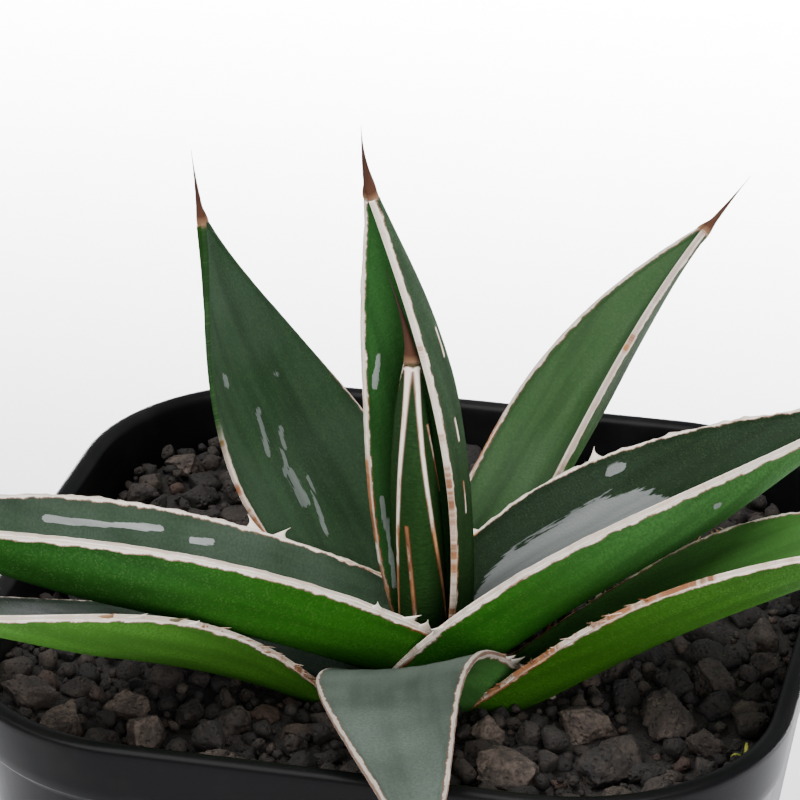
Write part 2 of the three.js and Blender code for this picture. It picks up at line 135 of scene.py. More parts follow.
LEAVES = (
    Leaf("leaf_1_spear", (-92, -87, -75), (80, 74, 97), 35.5, 4.3, 0.8, 0.35, (98, 106, 80), (-20, -10, 0),
         1.4, 3.6, 0.6, margin=0.2, ragged=0.04, stain=0.9, spine_bend=(-2.6, -0.4, 1.6), spine_radius=0.75,
         upper="#22381F", under="#223A1E", foot="#233F1C", bloom=0.05, rim=0.8, ripple=0.9, speckle=0.03,
         ribs=(("under", 0.02, -0.45, 0.99, -0.3, 0.2), ("under", 0.0, 0.52, 0.99, 0.2, 0.2),
               ("under", 0.985, -0.6, 0.985, 0.6, 0.16),
               ("under", 0.06, 0.12, 0.44, 0.12, 0.17), ("under", 0.52, -0.56, 0.8, -0.42, 0.14))),
    Leaf("leaf_2_upright", (63, 75, 54), (87, 104, 116), 58.5, 7, 0.56, 0.4, (45, 64, 46), (8, -2, 5),
         2.0, 0.6, 2.5, crease=4, base_bearing=50, margin=0.14, ragged=0.08, stain=0.85, rim=0.35,
         spine_bend=(1.7, 0.0, 1.0), upper="#2B5527", under="#31442F", foot="#274020", bloom=0.03,
         gloss=0.03, ripple=0.9, speckle=0.05, film_ragged=1.4, film_colour="#C4C9C7",
         scars=(("upper", 0.60, -0.84, 0.66, -0.72, 0.3), ("upper", 0.12, -0.85, 0.34, -0.86, 0.3)),
         ribs=(("under", 0.49, 0.66, 0.54, 0.68, 0.22), ("under", 0.33, 0.70, 0.40, 0.70, 0.2),
               ("upper", 0.42, 0.72, 0.56, 0.78, 0.16), ("under", 0.66, 0.5, 0.72, 0.45, 0.2))),
    Leaf("leaf_3_left", (216, 206, 191), (30, 19, 15), 62, 9.3, 0.86, 0.4, (50, 58, 50), (-2, -9, -6),
         3.3, 1.7, 3.2, taper=2.2, teeth=((0.047, -1), (0.086, -1), (0.14, -1), (0.23, 1), (0.28, 1)),
         margin=0.3, ragged=0.2, stain=0.45, upper="#2C402C", under="#204B19", foot="#2A6414", bloom=0.3,
         film=0.85, film_ragged=0.9, film_colour="#C4C9C7",
         scars=(("upper", 0.46, 0.78, 0.67, 0.70, 0.42), ("upper", 0.36, 0.75, 0.40, 0.72, 0.35))),
    # leaf_4's lifted film is pale grey partly as its own colour and partly as a painted sheen, the reflection
    # of the pale floor beyond it on its wax.
    Leaf("leaf_4_right", (0, 9, 18), (47, 32, 31), 54.5, 10.6, 0.82, 0.3, (39, 44, 40), (-4, 0, 0),
         1.2, 0.7, 4.5, teeth=((0.14, -1), (0.44, -1), (0.12, 1)), margin=0.2, ragged=0.3, stain=0.45,
         upper="#1C2D1B", under="#3C6634", foot="#265F13", bloom=0.06, film=0.8,
         film_ragged=1.4, film_colour="#9A9E9D",
         scars=(("upper", 0.22, 0.2, 0.42, 0.2, 8.8), ("upper", 0.47, -0.82, 0.49, -0.82, 0.75),
                ("under", 0.67, 0.70, 0.675, 0.70, 0.35))),
    Leaf("leaf_5_back_left", (150, 160, 173), (53, 56, 83), 51, 10.3, 0.75, 0.42, (43, 10, 22), (0, 2, -8),
         6.3, -1.6, 3, base_bearing=135, teeth=((0.12, -1), (0.2, 1)), margin=0.1, ragged=0.06, stain=0.7,
         spine_radius=0.5, upper="#273D26", under="#1B3A11", bloom=0.1, gloss=0.02, bare_from=0.62, dull=0.4,
         film=0.45, film_ragged=2.2,
         scars=(("upper", 0.49, -0.35, 0.58, -0.22, 0.3), ("upper", 0.43, -0.25, 0.52, 0.0, 0.35),
                ("upper", 0.36, -0.22, 0.42, -0.18, 0.8), ("upper", 0.28, -0.15, 0.40, 0.0, 0.25),
                ("upper", 0.67, -0.65, 0.68, -0.65, 0.35), ("upper", 0.62, 0.35, 0.625, 0.35, 0.35))),
    Leaf("leaf_6_front", (-122, -76, -73), (50, 10, -15), 61, 7.6, 1.15, 0.25, (12, 8, 20), (-26, -6, 3),
         5.0, -3.8, 3, taper=1.5, base_bearing=-28,
         teeth=((0.02, -1), (0.05, -1), (0.08, -1), (0.11, -1), (0.14, -1), (0.2, 1)),
         frays=((0.01, 0.17, -1),), margin=0.2, ragged=0.06, stain=0.35, rim=0.8, dull=0.7,
         upper="#3F4841", under="#34522C", foot="#3C6832", bloom=0.45),
    Leaf("leaf_7_back_right", (69, 58, 47), (42, 44, 40), 55, 5.6, 0.77, 0.5, (40, 50, 50), (0, 0, 0),
         3.7, -1.5, 2.1, crease=2.5, teeth=((0.16, 1),), margin=0.12, ragged=0.05, stain=0.75,
         spine_radius=0.5, dull=0.4, upper="#33502C", under="#3E4C3A", bloom=0.1),
    Leaf("leaf_8_low_left", (192, 230, 203), (26, 23, 15), 56.5, 7.9, 0.8, 0.48, (14, 20, 24), (10, -16, -6),
         7.5, -3.1, 3.4, base_bearing=201, teeth=((0.49, -1), (0.54, -1), (0.61, -1), (0.67, -1)),
         frays=((0.12, 0.48, -1),), margin=0.12, stain=0.6,
         upper="#2B3B2D", under="#3F6C26", foot="#3C6E1E", bloom=0.35),
    # leaf_9's upper skin is a lighter green than its own, partly painted light for the light that falls on it
    # from the right and above.
    Leaf("leaf_9_low_right", (-12, -6, 8), (37, 31, 7), 56.5, 8.4, 0.6, 0.48, (32, 44, 40), (-2, 4, 0),
         9.5, -2.5, 2.2, teeth=((0.2, -1), (0.28, -1)), frays=((0.02, 0.45, 1), (0.05, 0.5, -1)), stain=0.8,
         margin=0.12, ragged=0.22, upper="#3D692C", under="#2F5619", foot="#305F12", bloom=0.1),
)


# ------------------------------------------------------------------ general helpers
def linear(hex_colour):
    """An sRGB hex colour as linear RGBA."""
    channels = [int(hex_colour[i:i + 2], 16) / 255 for i in (1, 3, 5)]
    return (*[c / 12.92 if c <= 0.04045 else ((c + 0.055) / 1.055) ** 2.4 for c in channels], 1.0)


def quadratic(knots, t):
    """Quadratic through three values at 0, 0.5 and 1."""
    start, middle, end = knots
    return start * (1 - t) * (1 - 2 * t) + middle * 4 * t * (1 - t) + end * t * (2 * t - 1)


def smoothstep(low, high, x):
    s = np.clip((x - low) / (high - low), 0, 1)
    return s * s * (3 - 2 * s)


def make_object(name, points, faces, values=None, smooth=True):
    """A mesh object from points in mm; values maps an attribute's name to one number for each point."""
    mesh = bpy.data.meshes.new(name)
    mesh.from_pydata((np.asarray(points) * MM).tolist(), [], faces)
    for key, numbers in (values or {}).items():
        attribute = mesh.attributes.new(key, "FLOAT", "POINT")
        attribute.data.foreach_set("value", np.asarray(numbers, dtype=np.float32))
    mesh.polygons.foreach_set("use_smooth", [smooth] * len(mesh.polygons))
    mesh.update()
    piece = bpy.data.objects.new(name, mesh)
    bpy.context.scene.collection.objects.link(piece)
    return piece


def wavy(points, scale, seed):
    """Smooth noise in about -1..1 at each point, with bumps about `scale` mm apart."""
    shift = Vector((seed * 17.3, seed * 5.1, seed * 9.7))
    return np.array([noise.noise(Vector(p) / scale + shift) for p in points]) * 1.6


# ------------------------------------------------------------------ leaf geometry
STATIONS = 200  # cross-sections along a blade
SPOKES = 61  # points across each face
EDGE_STEPS = 5  # steps round the rounded edge of a margin
EDGE_THICKNESS = 0.45
EDGE_BULGE = 0.25
FAR_OUTSIDE = -9.0  # depth in mm given to a point that no mark comes near


def half_width(leaf, t):
    """Half width of the blade at each t: waist at the base, full at the widest place, a point at the tip."""
    rising = leaf.waist + (1 - leaf.waist) * np.sin(np.pi / 2 * np.clip(t / leaf.widest, 0, 1))
    falling = 1 - np.clip((t - leaf.widest) / (1 - leaf.widest), 0, 1) ** leaf.taper
    margin = MARGIN_HALF * (1 - 0.5 * smoothstep(0.7, 1, t))
    return leaf.width * np.where(t < leaf.widest, rising, falling) + margin


def leaf_axes(leaf, t):
    """Unit vectors along the leaf, across it and out of its upper face, one row for each t."""
    bearing = np.radians(quadratic(leaf.bearing, t))
    rise = np.radians(quadratic(leaf.rise, t))
    roll = np.radians(quadratic(leaf.roll, t))[:, None]
    along = np.stack([np.cos(bearing) * np.cos(rise), np.sin(bearing) * np.cos(rise), np.sin(rise)], 1)
    flat_across = np.stack([np.sin(bearing), -np.cos(bearing), np.zeros_like(t)], 1)
    flat_above = np.cross(flat_across, along)
    across = np.cos(roll) * flat_across + np.sin(roll) * flat_above
    above = np.cos(roll) * flat_above - np.sin(roll) * flat_across
    return along, across, above


def midrib(leaf, t):
    """Points down the middle of the leaf. t starts below 0, in the buried foot."""
    along, across, above = leaf_axes(leaf, np.clip(t, 0, None))
    steps = (along[1:] + along[:-1]) / 2 * np.diff(t)[:, None] * leaf.length
    points = np.vstack([[0, 0, 0], np.cumsum(steps, 0)])
    bearing = math.radians(leaf.bearing[0] if leaf.base_bearing is None else leaf.base_bearing)
    base = [PLANT_AXIS[0] + leaf.out * math.cos(bearing), PLANT_AXIS[1] + leaf.out * math.sin(bearing),
            SOIL_LEVEL + leaf.up]
    at_zero = np.array([np.interp(0, t, points[:, k]) for k in range(3)])
    return points - at_zero + base, along, across, above


def channel(fold, crease, u):
    """Cross-section of the upper face for a unit half width: x, y and slope, one row for each fold."""
    slope = fold[:, None] * np.tanh(crease * u)[None] / math.tanh(crease)
    step = u[1] - u[0]
    x = np.cumsum(np.cos(slope), 1) * step
    y = np.cumsum(np.sin(slope), 1) * step
    middle = len(u) // 2
    return x - x[:, middle:middle + 1], y - y[:, middle:middle + 1], slope


class Blade:
    """The fine surface of one leaf, which its teeth, frays and marks are placed on."""

    def __init__(self, leaf):
        self.leaf = leaf
        self.seed = int(leaf.name.split("_")[1])
        foot = (0.5 + 0.85 * leaf.out) / leaf.length  # the share that is buried between base and stem
        self.t = np.linspace(-foot, 1, STATIONS)
        self.u = np.linspace(-1, 1, SPOKES)
        self.point, self.along, self.across, self.above = midrib(leaf, self.t)
        blade_t = np.clip(self.t, 0, 1)
        self.width = half_width(leaf, blade_t)
        fold = np.radians(quadratic(leaf.fold, blade_t))
        self.x, self.y, self.slope = channel(fold, leaf.crease, self.u)
        thinning = (1 - 0.35 * blade_t) * (1 - 0.7 * smoothstep(0.55, 1, blade_t))
        self.thick = np.minimum(leaf.thick * thinning, 0.9 * self.width)
        self.across_mm = self.u[None] * self.width[:, None]
        self.edge_mm = (1 - np.abs(self.u))[None] * self.width[:, None]

    def face(self, upper):
        """Points of the upper or under face, stations x spokes x 3."""
        lift = self.relief(upper)
        if not upper:
            lift = -self.thick[:, None] * (1 - self.u[None] ** 2) - EDGE_THICKNESS - lift
        x = self.x * self.width[:, None] - np.sin(self.slope) * lift
        y = self.y * self.width[:, None] + np.cos(self.slope) * lift
        return self.point[:, None] + self.across[:, None] * x[..., None] + self.above[:, None] * y[..., None]

    def relief(self, upper):
        """How far the skin stands out: horny margin, ribs and film proud, faint lengthwise waves between."""
        margin = self.leaf.margin
        proud = 0.13 * (1 - smoothstep(margin + 0.1, margin + 0.45, self.edge_mm))
        proud *= smoothstep(-0.02, 0.05, self.t)[:, None]
        wave = 0.02 * np.sin(self.across_mm * 2.3 + 3 * np.sin(self.t * 5)[:, None] + self.seed)
        wave *= smoothstep(0.8, 2.5, self.edge_mm)
        rib = smoothstep(-0.2, 0.15, self.inside(self.leaf.ribs, upper))
        film = smoothstep(-0.2, 0.2, self.film(upper))
        return np.maximum(proud, 0.13 * rib) + wave + 0.03 * film

    def inside(self, strokes, upper):
        """How many mm inside the nearest stroke each point of a face lies; negative outside all of them."""
        best = np.full(self.edge_mm.shape, FAR_OUTSIDE)
        place = np.stack(np.broadcast_arrays((self.t * self.leaf.length)[:, None], self.across_mm), -1)
        for face, t0, u0, t1, u1, half in strokes:
            if (face == "upper") != upper:
                continue
            ends = [np.array([t * self.leaf.length, u * self.width[self.station(t)]])
                    for t, u in ((t0, u0), (t1, u1))]
            line = ends[1] - ends[0]
            share = np.clip((place - ends[0]) @ line / (line @ line), 0, 1)
            gap = np.linalg.norm(place - ends[0] - share[..., None] * line, axis=-1)
            best = np.maximum(best, half - gap)
        return best

    def film(self, upper):
        """Depth inside the lifted film; small marks count threefold, so that their edges stay crisp."""
        large = [stroke for stroke in self.leaf.scars if stroke[-1] > 2]
        small = [stroke for stroke in self.leaf.scars if stroke[-1] <= 2]
        return np.maximum(self.inside(large, upper), 3 * self.inside(small, upper))

    def station(self, t):
        return int(np.argmin(np.abs(self.t - t)))

    def margin(self, i, side):
        """Middle of the margin's edge at station i on side -1 or +1, and the ways out, along and up there."""
        k = 0 if side < 0 else SPOKES - 1
        slope = self.slope[i, k]
        out = side * (math.cos(slope) * self.across[i] + math.sin(slope) * self.above[i])
        normal = math.cos(slope) * self.above[i] - math.sin(slope) * self.across[i]
        edge = self.point[i] + self.across[i] * self.x[i, k] * self.width[i]
        edge = edge + self.above[i] * self.y[i, k] * self.width[i] - normal * EDGE_THICKNESS / 2
        return edge, out, self.along[i], normal

    def bulge(self, i, side):
        """How far the margin's edge stands out at station i: a rounded bead, unevenly grown."""
        place = Vector((self.t[i] * self.leaf.length, side * 31.0, self.seed * 13.0))
        lumps = noise.noise(place / 1.9) + 0.7 * noise.noise(place / 0.7)
        return EDGE_BULGE + self.leaf.ragged * lumps


# What the skin's pattern knows about each point: its place on the leaf in mm, its face (1 upper, 0 under),
# its depth in mm inside the marks and ribs, its share of the way up the spine, and how torn the horn is.
KEYS = ("edge_mm", "across_mm", "along_mm", "face", "scar", "rib", "spine", "torn")
EDGE_ROW = {"edge_mm": 0.0, "across_mm": 0.0, "along_mm": 0.0, "face": 0.5, "scar": FAR_OUTSIDE,
            "rib": FAR_OUTSIDE, "spine": 0.0, "torn": 0.0}


class LeafMesh:
    """Points, faces and attribute values of one leaf, gathered ring by ring."""

    def __init__(self):
        self.points, self.faces, self.rows = [], [], []

    def add_rings(self, rings, rows):
        """Adds a closed tube of equal rings, with one attribute row for each point."""
        self.faces.extend(stitch(rings, len(self.points)))
        self.points.extend(point for ring in rings for point in ring)
        self.rows.extend(rows)

    def make(self, name):
        values = {key: [row[key] for row in self.rows] for key in KEYS}
        return make_object(name, self.points, self.faces, values)


def blade_ring(blade, i, faces, marks):
    """One cross-section: upper face, one rounded edge, under face, the other edge; with attribute rows."""
    ring, rows = [], []
    place = {"along_mm": blade.t[i] * blade.leaf.length}
    for upper, side in ((True, 1), (False, -1)):
        spokes = range(SPOKES) if upper else range(SPOKES - 1, -1, -1)
        for k in spokes:
            ring.append(faces[upper][i, k])
            rows.append({**EDGE_ROW, **place, "face": float(upper),
                         "edge_mm": blade.edge_mm[i, k], "across_mm": blade.across_mm[i, k],
                         "scar": marks[upper]["scar"][i, k], "rib": marks[upper]["rib"][i, k]})
        start, end = ring[-1], faces[not upper][i, -1 if side > 0 else 0]
        out = blade.margin(i, side)[1] * blade.bulge(i, side)
        for step in range(1, EDGE_STEPS):
            angle = math.pi * step / EDGE_STEPS
            ring.append((start + end) / 2 + (start - end) / 2 * math.cos(angle) + out * math.sin(angle))
            rows.append({**EDGE_ROW, **place, "edge_mm": -math.sin(angle),
                         "across_mm": side * blade.width[i]})
    return ring, rows


def spine_rings(blade, last, steps=26):
    """Rings that carry the blade's last cross-section into the round, needle-pointed terminal spine."""
    leaf = blade.leaf
    along, across, above = blade.along[-1], blade.across[-1], blade.above[-1]
    start = blade.point[-1] - above * EDGE_THICKNESS
    last = np.array(last)
    angles = np.arctan2((last - start) @ above, (last - start) @ across)
    bend = np.array(leaf.spine_bend)
    for step in range(1, steps + 1):
        share = step / steps
        centre = start + along * share * SPINE_LENGTH + bend * share ** 1.6
        radius = leaf.spine_radius * (1 - share) ** 1.7 + 0.03
        spokes = np.cos(angles)[:, None] * across + np.sin(angles)[:, None] * above
        blend = smoothstep(0.0, 0.25, share)
        ring = (last + centre - start) * (1 - blend) + (centre + radius * spokes) * blend
        row = {**EDGE_ROW, "along_mm": leaf.length + share * SPINE_LENGTH, "spine": share}
        yield list(ring), [row] * len(ring)


def stitch(rings, offset=0):
    """Quads between equal rings, with one face closing each end."""
    count = len(rings[0])
    faces = []
    for r in range(len(rings) - 1):
        for k in range(count):
            a, b = offset + r * count + k, offset + r * count + (k + 1) % count
            faces.append((a, b, b + count, a + count))
    faces.append(tuple(offset + (len(rings) - 1) * count + k for k in range(count)))
    faces.append(tuple(offset + count - 1 - k for k in range(count)))
    return faces


def hook_rings(place, size, foot, depth, lean, steps=7, sides=8):
    """Rings of a hooked tooth or a torn fibre: its foot on the margin, its tip leaning along the leaf."""
    edge, out, along, normal = place
    rings = []
    for step in range(steps + 1):
        share = step / steps
        centre = edge + out * size * (1.2 * share - 0.2) + along * lean * size * share ** 2
        reach = foot * (1 - share) ** 1.9 + 0.03
        deep = depth * (1 - share) ** 0.9 + 0.02
        rings.append([centre + along * reach * math.cos(a) + normal * deep * math.sin(a)
                      for a in np.linspace(0, 2 * np.pi, sides, endpoint=False)])
    return rings


def add_teeth(mesh, blade, rng):
    """The hooked teeth on the margins, each a little different in size and lean."""
    for t, side in blade.leaf.teeth:
        size = 1.15 + 0.6 * rng.random()
        rings = hook_rings(blade.margin(blade.station(t), side), size, size, 0.22, rng.uniform(-0.9, 0.6))
        row = {**EDGE_ROW, "along_mm": t * blade.leaf.length + 20}
        mesh.add_rings(rings, [row] * sum(map(len, rings)))


def add_frays(mesh, blade, rng):
    """Small torn flakes and fibres along the weathered stretches of margin."""
    for start, end, side in blade.leaf.frays:
        for t in np.arange(start, end, 0.55 / blade.leaf.length):
            i = blade.station(t + 0.01 * rng.random())
            edge, out, along, normal = blade.margin(i, side)
            size = 0.25 + 0.95 * rng.random() ** 2
            edge = edge + normal * rng.uniform(-0.25, 0.25)
            rings = hook_rings((edge, out, along, normal), size, rng.uniform(0.25, 0.8), 0.09,
                               rng.uniform(-1.8, 1.2), steps=4, sides=6)
            row = {**EDGE_ROW, "along_mm": t * blade.leaf.length, "torn": rng.uniform(0.3, 1.0)}
            mesh.add_rings(rings, [row] * sum(map(len, rings)))


def build_leaf(leaf):
    blade = Blade(leaf)
    faces = {upper: blade.face(upper) for upper in (True, False)}
    marks = {upper: {"scar": blade.film(upper), "rib": blade.inside(leaf.ribs, upper)}
             for upper in (True, False)}
    sections = [blade_ring(blade, i, faces, marks) for i in range(STATIONS)]
    sections.extend(spine_rings(blade, sections[-1][0]))
    mesh = LeafMesh()
    mesh.add_rings([ring for ring, _ in sections], [row for _, rows in sections for row in rows])
    rng = np.random.default_rng(blade.seed + 10)
    add_teeth(mesh, blade, rng)
    add_frays(mesh, blade, rng)
    piece = mesh.make(f"agave_{leaf.name}")
    piece.data.materials.append(leaf_material(leaf))
    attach(piece, "root")
    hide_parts(leaf.name)
    return piece


# ------------------------------------------------------------------ materials
def new_material(name):
    """An empty node material, with a function that adds nodes to it, and its shader."""
    material = bpy.data.materials.new(name)
    material.use_nodes = True
    tree = material.node_tree
    return material, partial(add_node, tree), tree.nodes["Principled BSDF"]


def add_node(tree, kind, inputs=(), output=0, stops=(), **settings):
    """Adds a node and returns one of its outputs.

    inputs is a list, or a dict by socket name or number; each value is a number, a colour or another
    node's output to link. stops are the (position, hex colour) pairs of a colour ramp.
    """
    node = tree.nodes.new(kind)
    for name, value in settings.items():
        setattr(node, name, value)
    for key, value in (inputs.items() if isinstance(inputs, dict) else enumerate(inputs)):
        if isinstance(value, bpy.types.NodeSocket):
            tree.links.new(value, node.inputs[key])
        else:
            node.inputs[key].default_value = value
    while stops and len(node.color_ramp.elements) < len(stops):
        node.color_ramp.elements.new(0.5)
    for element, (position, colour) in zip(node.color_ramp.elements if stops else (), stops):
        element.position = position
        element.color = linear(colour)
    return node.outputs[output]


# Short names for node kinds.
MATH, MIX, RANGE, RAMP = "ShaderNodeMath", "ShaderNodeMix", "ShaderNodeMapRange", "ShaderNodeValToRGB"
NOISE, CELLS, BUMP = "ShaderNodeTexNoise", "ShaderNodeTexVoronoi", "ShaderNodeBump"
ATTRIBUTE, XYZ, COORDINATES = "ShaderNodeAttribute", "ShaderNodeCombineXYZ", "ShaderNodeTexCoord"
BLEND = dict(data_type="RGBA", output=2)  # settings of a colour mix; its inputs are 0, 6 and 7
SMOOTH = dict(interpolation_type="SMOOTHSTEP")  # a range's inputs are value, from low, from high


def skin_places(add):
    """Each point's numbers from KEYS, coordinates in mm for the patterns, and the noises that they share."""
    at = SimpleNamespace(**{key: add(ATTRIBUTE, output=2, attribute_name=key) for key in KEYS})
    at.face_far = add(MATH, (at.face, 50.0), operation="MULTIPLY")  # keeps the two faces' patterns apart
    at.even = add(XYZ, (at.across_mm, at.along_mm, at.face_far))
    along_squeezed = add(MATH, (at.along_mm, 0.08), operation="MULTIPLY")
    at.drawn_out = add(XYZ, (at.across_mm, along_squeezed, at.face_far))
    at.is_upper = add(RANGE, (at.face, 0.4, 0.6), **SMOOTH)
    at.bands = add(NOISE, {"Vector": at.drawn_out, "Scale": 0.55, "Detail": 3.0})
    at.fibres = add(NOISE, {"Vector": at.drawn_out, "Scale": 1.6, "Detail": 4.0, "Roughness": 0.6})
    at.flecks = add(NOISE, {"Vector": at.drawn_out, "Scale": 0.9, "Detail": 5.0, "Roughness": 0.7})
    # The skin is finely embossed, like leather, with grains about 0.3 mm across.
    at.leather = add(NOISE, {"Vector": at.even, "Scale": 3.0, "Detail": 2.0, "Roughness": 0.6})
    return at


def flesh_colour(add, leaf, at):
    """Green flesh with lengthwise bands, brighter near the stem, under wax bloom, painted shade in the dips
    of the embossing, and pores.
    """
    patches = add(NOISE, {"Vector": at.even, "Scale": 0.08, "Detail": 3.0, "Roughness": 0.5})
    near_stem = add(RANGE, (at.along_mm, 36.0, 9.0), **SMOOTH)
    back = add(MIX, {0: near_stem, 6: linear(leaf.under), 7: linear(leaf.foot)}, **BLEND)
    flesh = add(MIX, {0: at.is_upper, 6: back, 7: linear(leaf.upper)}, **BLEND)
    darker = add(MIX, {0: 0.4, 6: flesh, 7: linear("#041004")}, **BLEND)
    flesh = add(MIX, {0: add(RANGE, (at.bands, 0.35, 0.7), **SMOOTH), 6: flesh, 7: darker}, **BLEND)
    bloom = add(RANGE, (patches, 0.2, 0.75, 0.0, leaf.bloom), **SMOOTH)
    bloom = add(MATH, (bloom, at.is_upper), operation="MULTIPLY")
    flesh = add(MIX, {0: bloom, 6: flesh, 7: linear("#6F7A72")}, **BLEND)

    # Painted shade: the dips of the leather embossing are darkened, more on the back than on the upper face.
    dimple_shade = add(RANGE, (at.leather, 0.60, 0.40), **SMOOTH)
    dimple_shade_depth = add(RANGE, (at.is_upper, 0.0, 1.0, 0.6, 0.25))
    dimple_shade = add(MATH, (dimple_shade, dimple_shade_depth), operation="MULTIPLY")
    flesh = add(MIX, {0: dimple_shade, 6: flesh, 7: darker}, **BLEND)

    # Stomata: pale pores 0.12 mm wide and 0.35 mm apart, thick on the back and sparse above.
    cells = add(CELLS, {"Vector": at.even, "Scale": 3.2}, voronoi_dimensions="2D")
    crowded = add(NOISE, {"Vector": at.even, "Scale": 1.1, "Detail": 4.0})
    crowded = add(RANGE, (crowded, 0.36, 0.66), **SMOOTH)
    pores = add(MATH, (add(RANGE, (cells, 0.42, 0.08), **SMOOTH), crowded), operation="MULTIPLY")
    paleness = add(RANGE, (at.is_upper, 0.0, 1.0, leaf.speckle, 0.05))
    pores = add(MATH, (pores, paleness), operation="MULTIPLY")
    return add(MIX, {0: pores, 6: flesh, 7: linear("#86AC62")}, **BLEND)


def film_cover(add, leaf, at):
    """Where the wax film has lifted and turned pale; the ends of such a patch are torn along the leaf."""
    torn_film = add(NOISE, {"Vector": at.drawn_out, "Scale": 1.3, "Detail": 4.0, "Roughness": 0.65})
    tear = add(RANGE, (torn_film, 0.2, 0.8, -leaf.film_ragged, leaf.film_ragged))
    depth = add(MATH, (tear, at.scar), operation="ADD")
    return add(RANGE, (depth, -0.05, 0.12, 0.0, leaf.film), **SMOOTH)


def horn_cover(add, leaf, at, wobble):
    """Where the horny margin and the ribs lie, and where their brown outline runs."""
    from_edge = add(MATH, (wobble, -1.1, at.edge_mm), operation="MULTIPLY_ADD")
    from_edge = add(MATH, (from_edge, 0.3), operation="ADD")
    in_margin = add(RANGE, (from_edge, leaf.margin - 0.17, leaf.margin - 0.25), **SMOOTH)
    bare, horny = leaf.bare_from * leaf.length, (leaf.bare_from - 0.12) * leaf.length
    in_margin = add(MATH, (in_margin, add(RANGE, (at.along_mm, bare, horny), **SMOOTH)), operation="MULTIPLY")
    in_rib = add(RANGE, (at.rib, -0.04, 0.04), **SMOOTH)
    in_horn = add(MATH, (in_margin, in_rib), operation="MAXIMUM")

    margin_line = add(RANGE, (from_edge, leaf.margin - 0.42, leaf.margin - 0.26), **SMOOTH)
    rib_line = add(RANGE, (at.rib, 0.14, 0.02), **SMOOTH)
    outline = add(MIX, {0: in_rib, 2: margin_line, 3: rib_line})
    outline = add(MATH, (outline, 0.9), operation="MULTIPLY")
    round_edge = add(MATH, (wobble, -0.8, at.edge_mm), operation="MULTIPLY_ADD")
    bead = add(RANGE, (round_edge, -1.0, -1.3, 0.0, leaf.rim), **SMOOTH)
    return in_horn, add(MATH, (outline, bead), operation="MAXIMUM")


def horn_colour(add, leaf, at, outline):
    """Dead fibre: cream, with rusty stains that grow towards the stem, greyed as painted shade where it lies
    in shadow, and lined brown.
    """
    towards_foot = add(MATH, (at.along_mm, -0.005, at.flecks), operation="MULTIPLY_ADD")
    clean = 0.62 - 0.3 * leaf.stain
    stain = add(RANGE, (towards_foot, clean, clean + 0.08, 0.0, 0.9), **SMOOTH)
    stain = add(MATH, (stain, at.torn), operation="MAXIMUM")
    horn = add(RAMP, (at.fibres,), stops=((0.25, "#B48A66"), (0.38, "#F2E0CC"), (0.8, "#FFFAF2")))
    rust = add(RAMP, (at.fibres,), stops=((0.3, "#4A240C"), (0.5, "#9A5A26"), (0.7, "#CC9458")))
    # Painted shade: the leaf's dull share greys the horn where its margin lies in shadow.
    horn = add(MIX, {0: leaf.dull, 6: horn, 7: linear("#8E8A84")}, **BLEND)
    horn = add(MIX, {0: stain, 6: horn, 7: rust}, **BLEND)
    return add(MIX, {0: outline, 6: horn, 7: linear("#5A3218")}, **BLEND)


def with_spine(add, leaf, at, colour):
    """The colour with the spine over it: tan at its foot, dark brown on its length, greyer at the point."""
    spine = add(RAMP, (at.spine,), stops=((0.0, "#8A6A50"), (0.12, "#4C3226"), (0.55, "#3A2721"),
                                          (0.95, "#4C3E39")))
    from_tip = add(MATH, (at.along_mm, -leaf.length), operation="ADD")
    brown = add(MATH, (at.flecks, 2.6, from_tip), operation="MULTIPLY_ADD")
    on_spine = add(RANGE, (brown, 1.1, 1.5), **SMOOTH)
    not_torn = add(RANGE, (at.torn, 0.0, 0.1, 1.0, 0.0))
    on_spine = add(MATH, (on_spine, not_torn), operation="MULTIPLY")
    return add(MIX, {0: on_spine, 6: colour, 7: spine}, **BLEND)


def skin_bump(add, leaf, at, in_horn, film):
    """Skin cells in low cross ridges about 0.4 mm apart, fibres in the horn, and the film a step higher."""
    stretched = add(XYZ, (add(MATH, (at.across_mm, 0.5), operation="MULTIPLY"), at.along_mm, at.face_far))
    ridges = add(NOISE, {"Vector": stretched, "Scale": 2.4, "Detail": 1.0})
    ridges = add(MATH, (ridges, leaf.ripple), operation="MULTIPLY")
    dimples = add(MATH, (at.leather, 0.6, ridges), operation="MULTIPLY_ADD")
    height = add(MIX, {0: in_horn, 2: dimples, 3: at.fibres})
    height = add(MATH, (film, 0.4, height), operation="MULTIPLY_ADD")
    return add(BUMP, {"Height": height, "Strength": 0.7, "Distance": 0.00022})


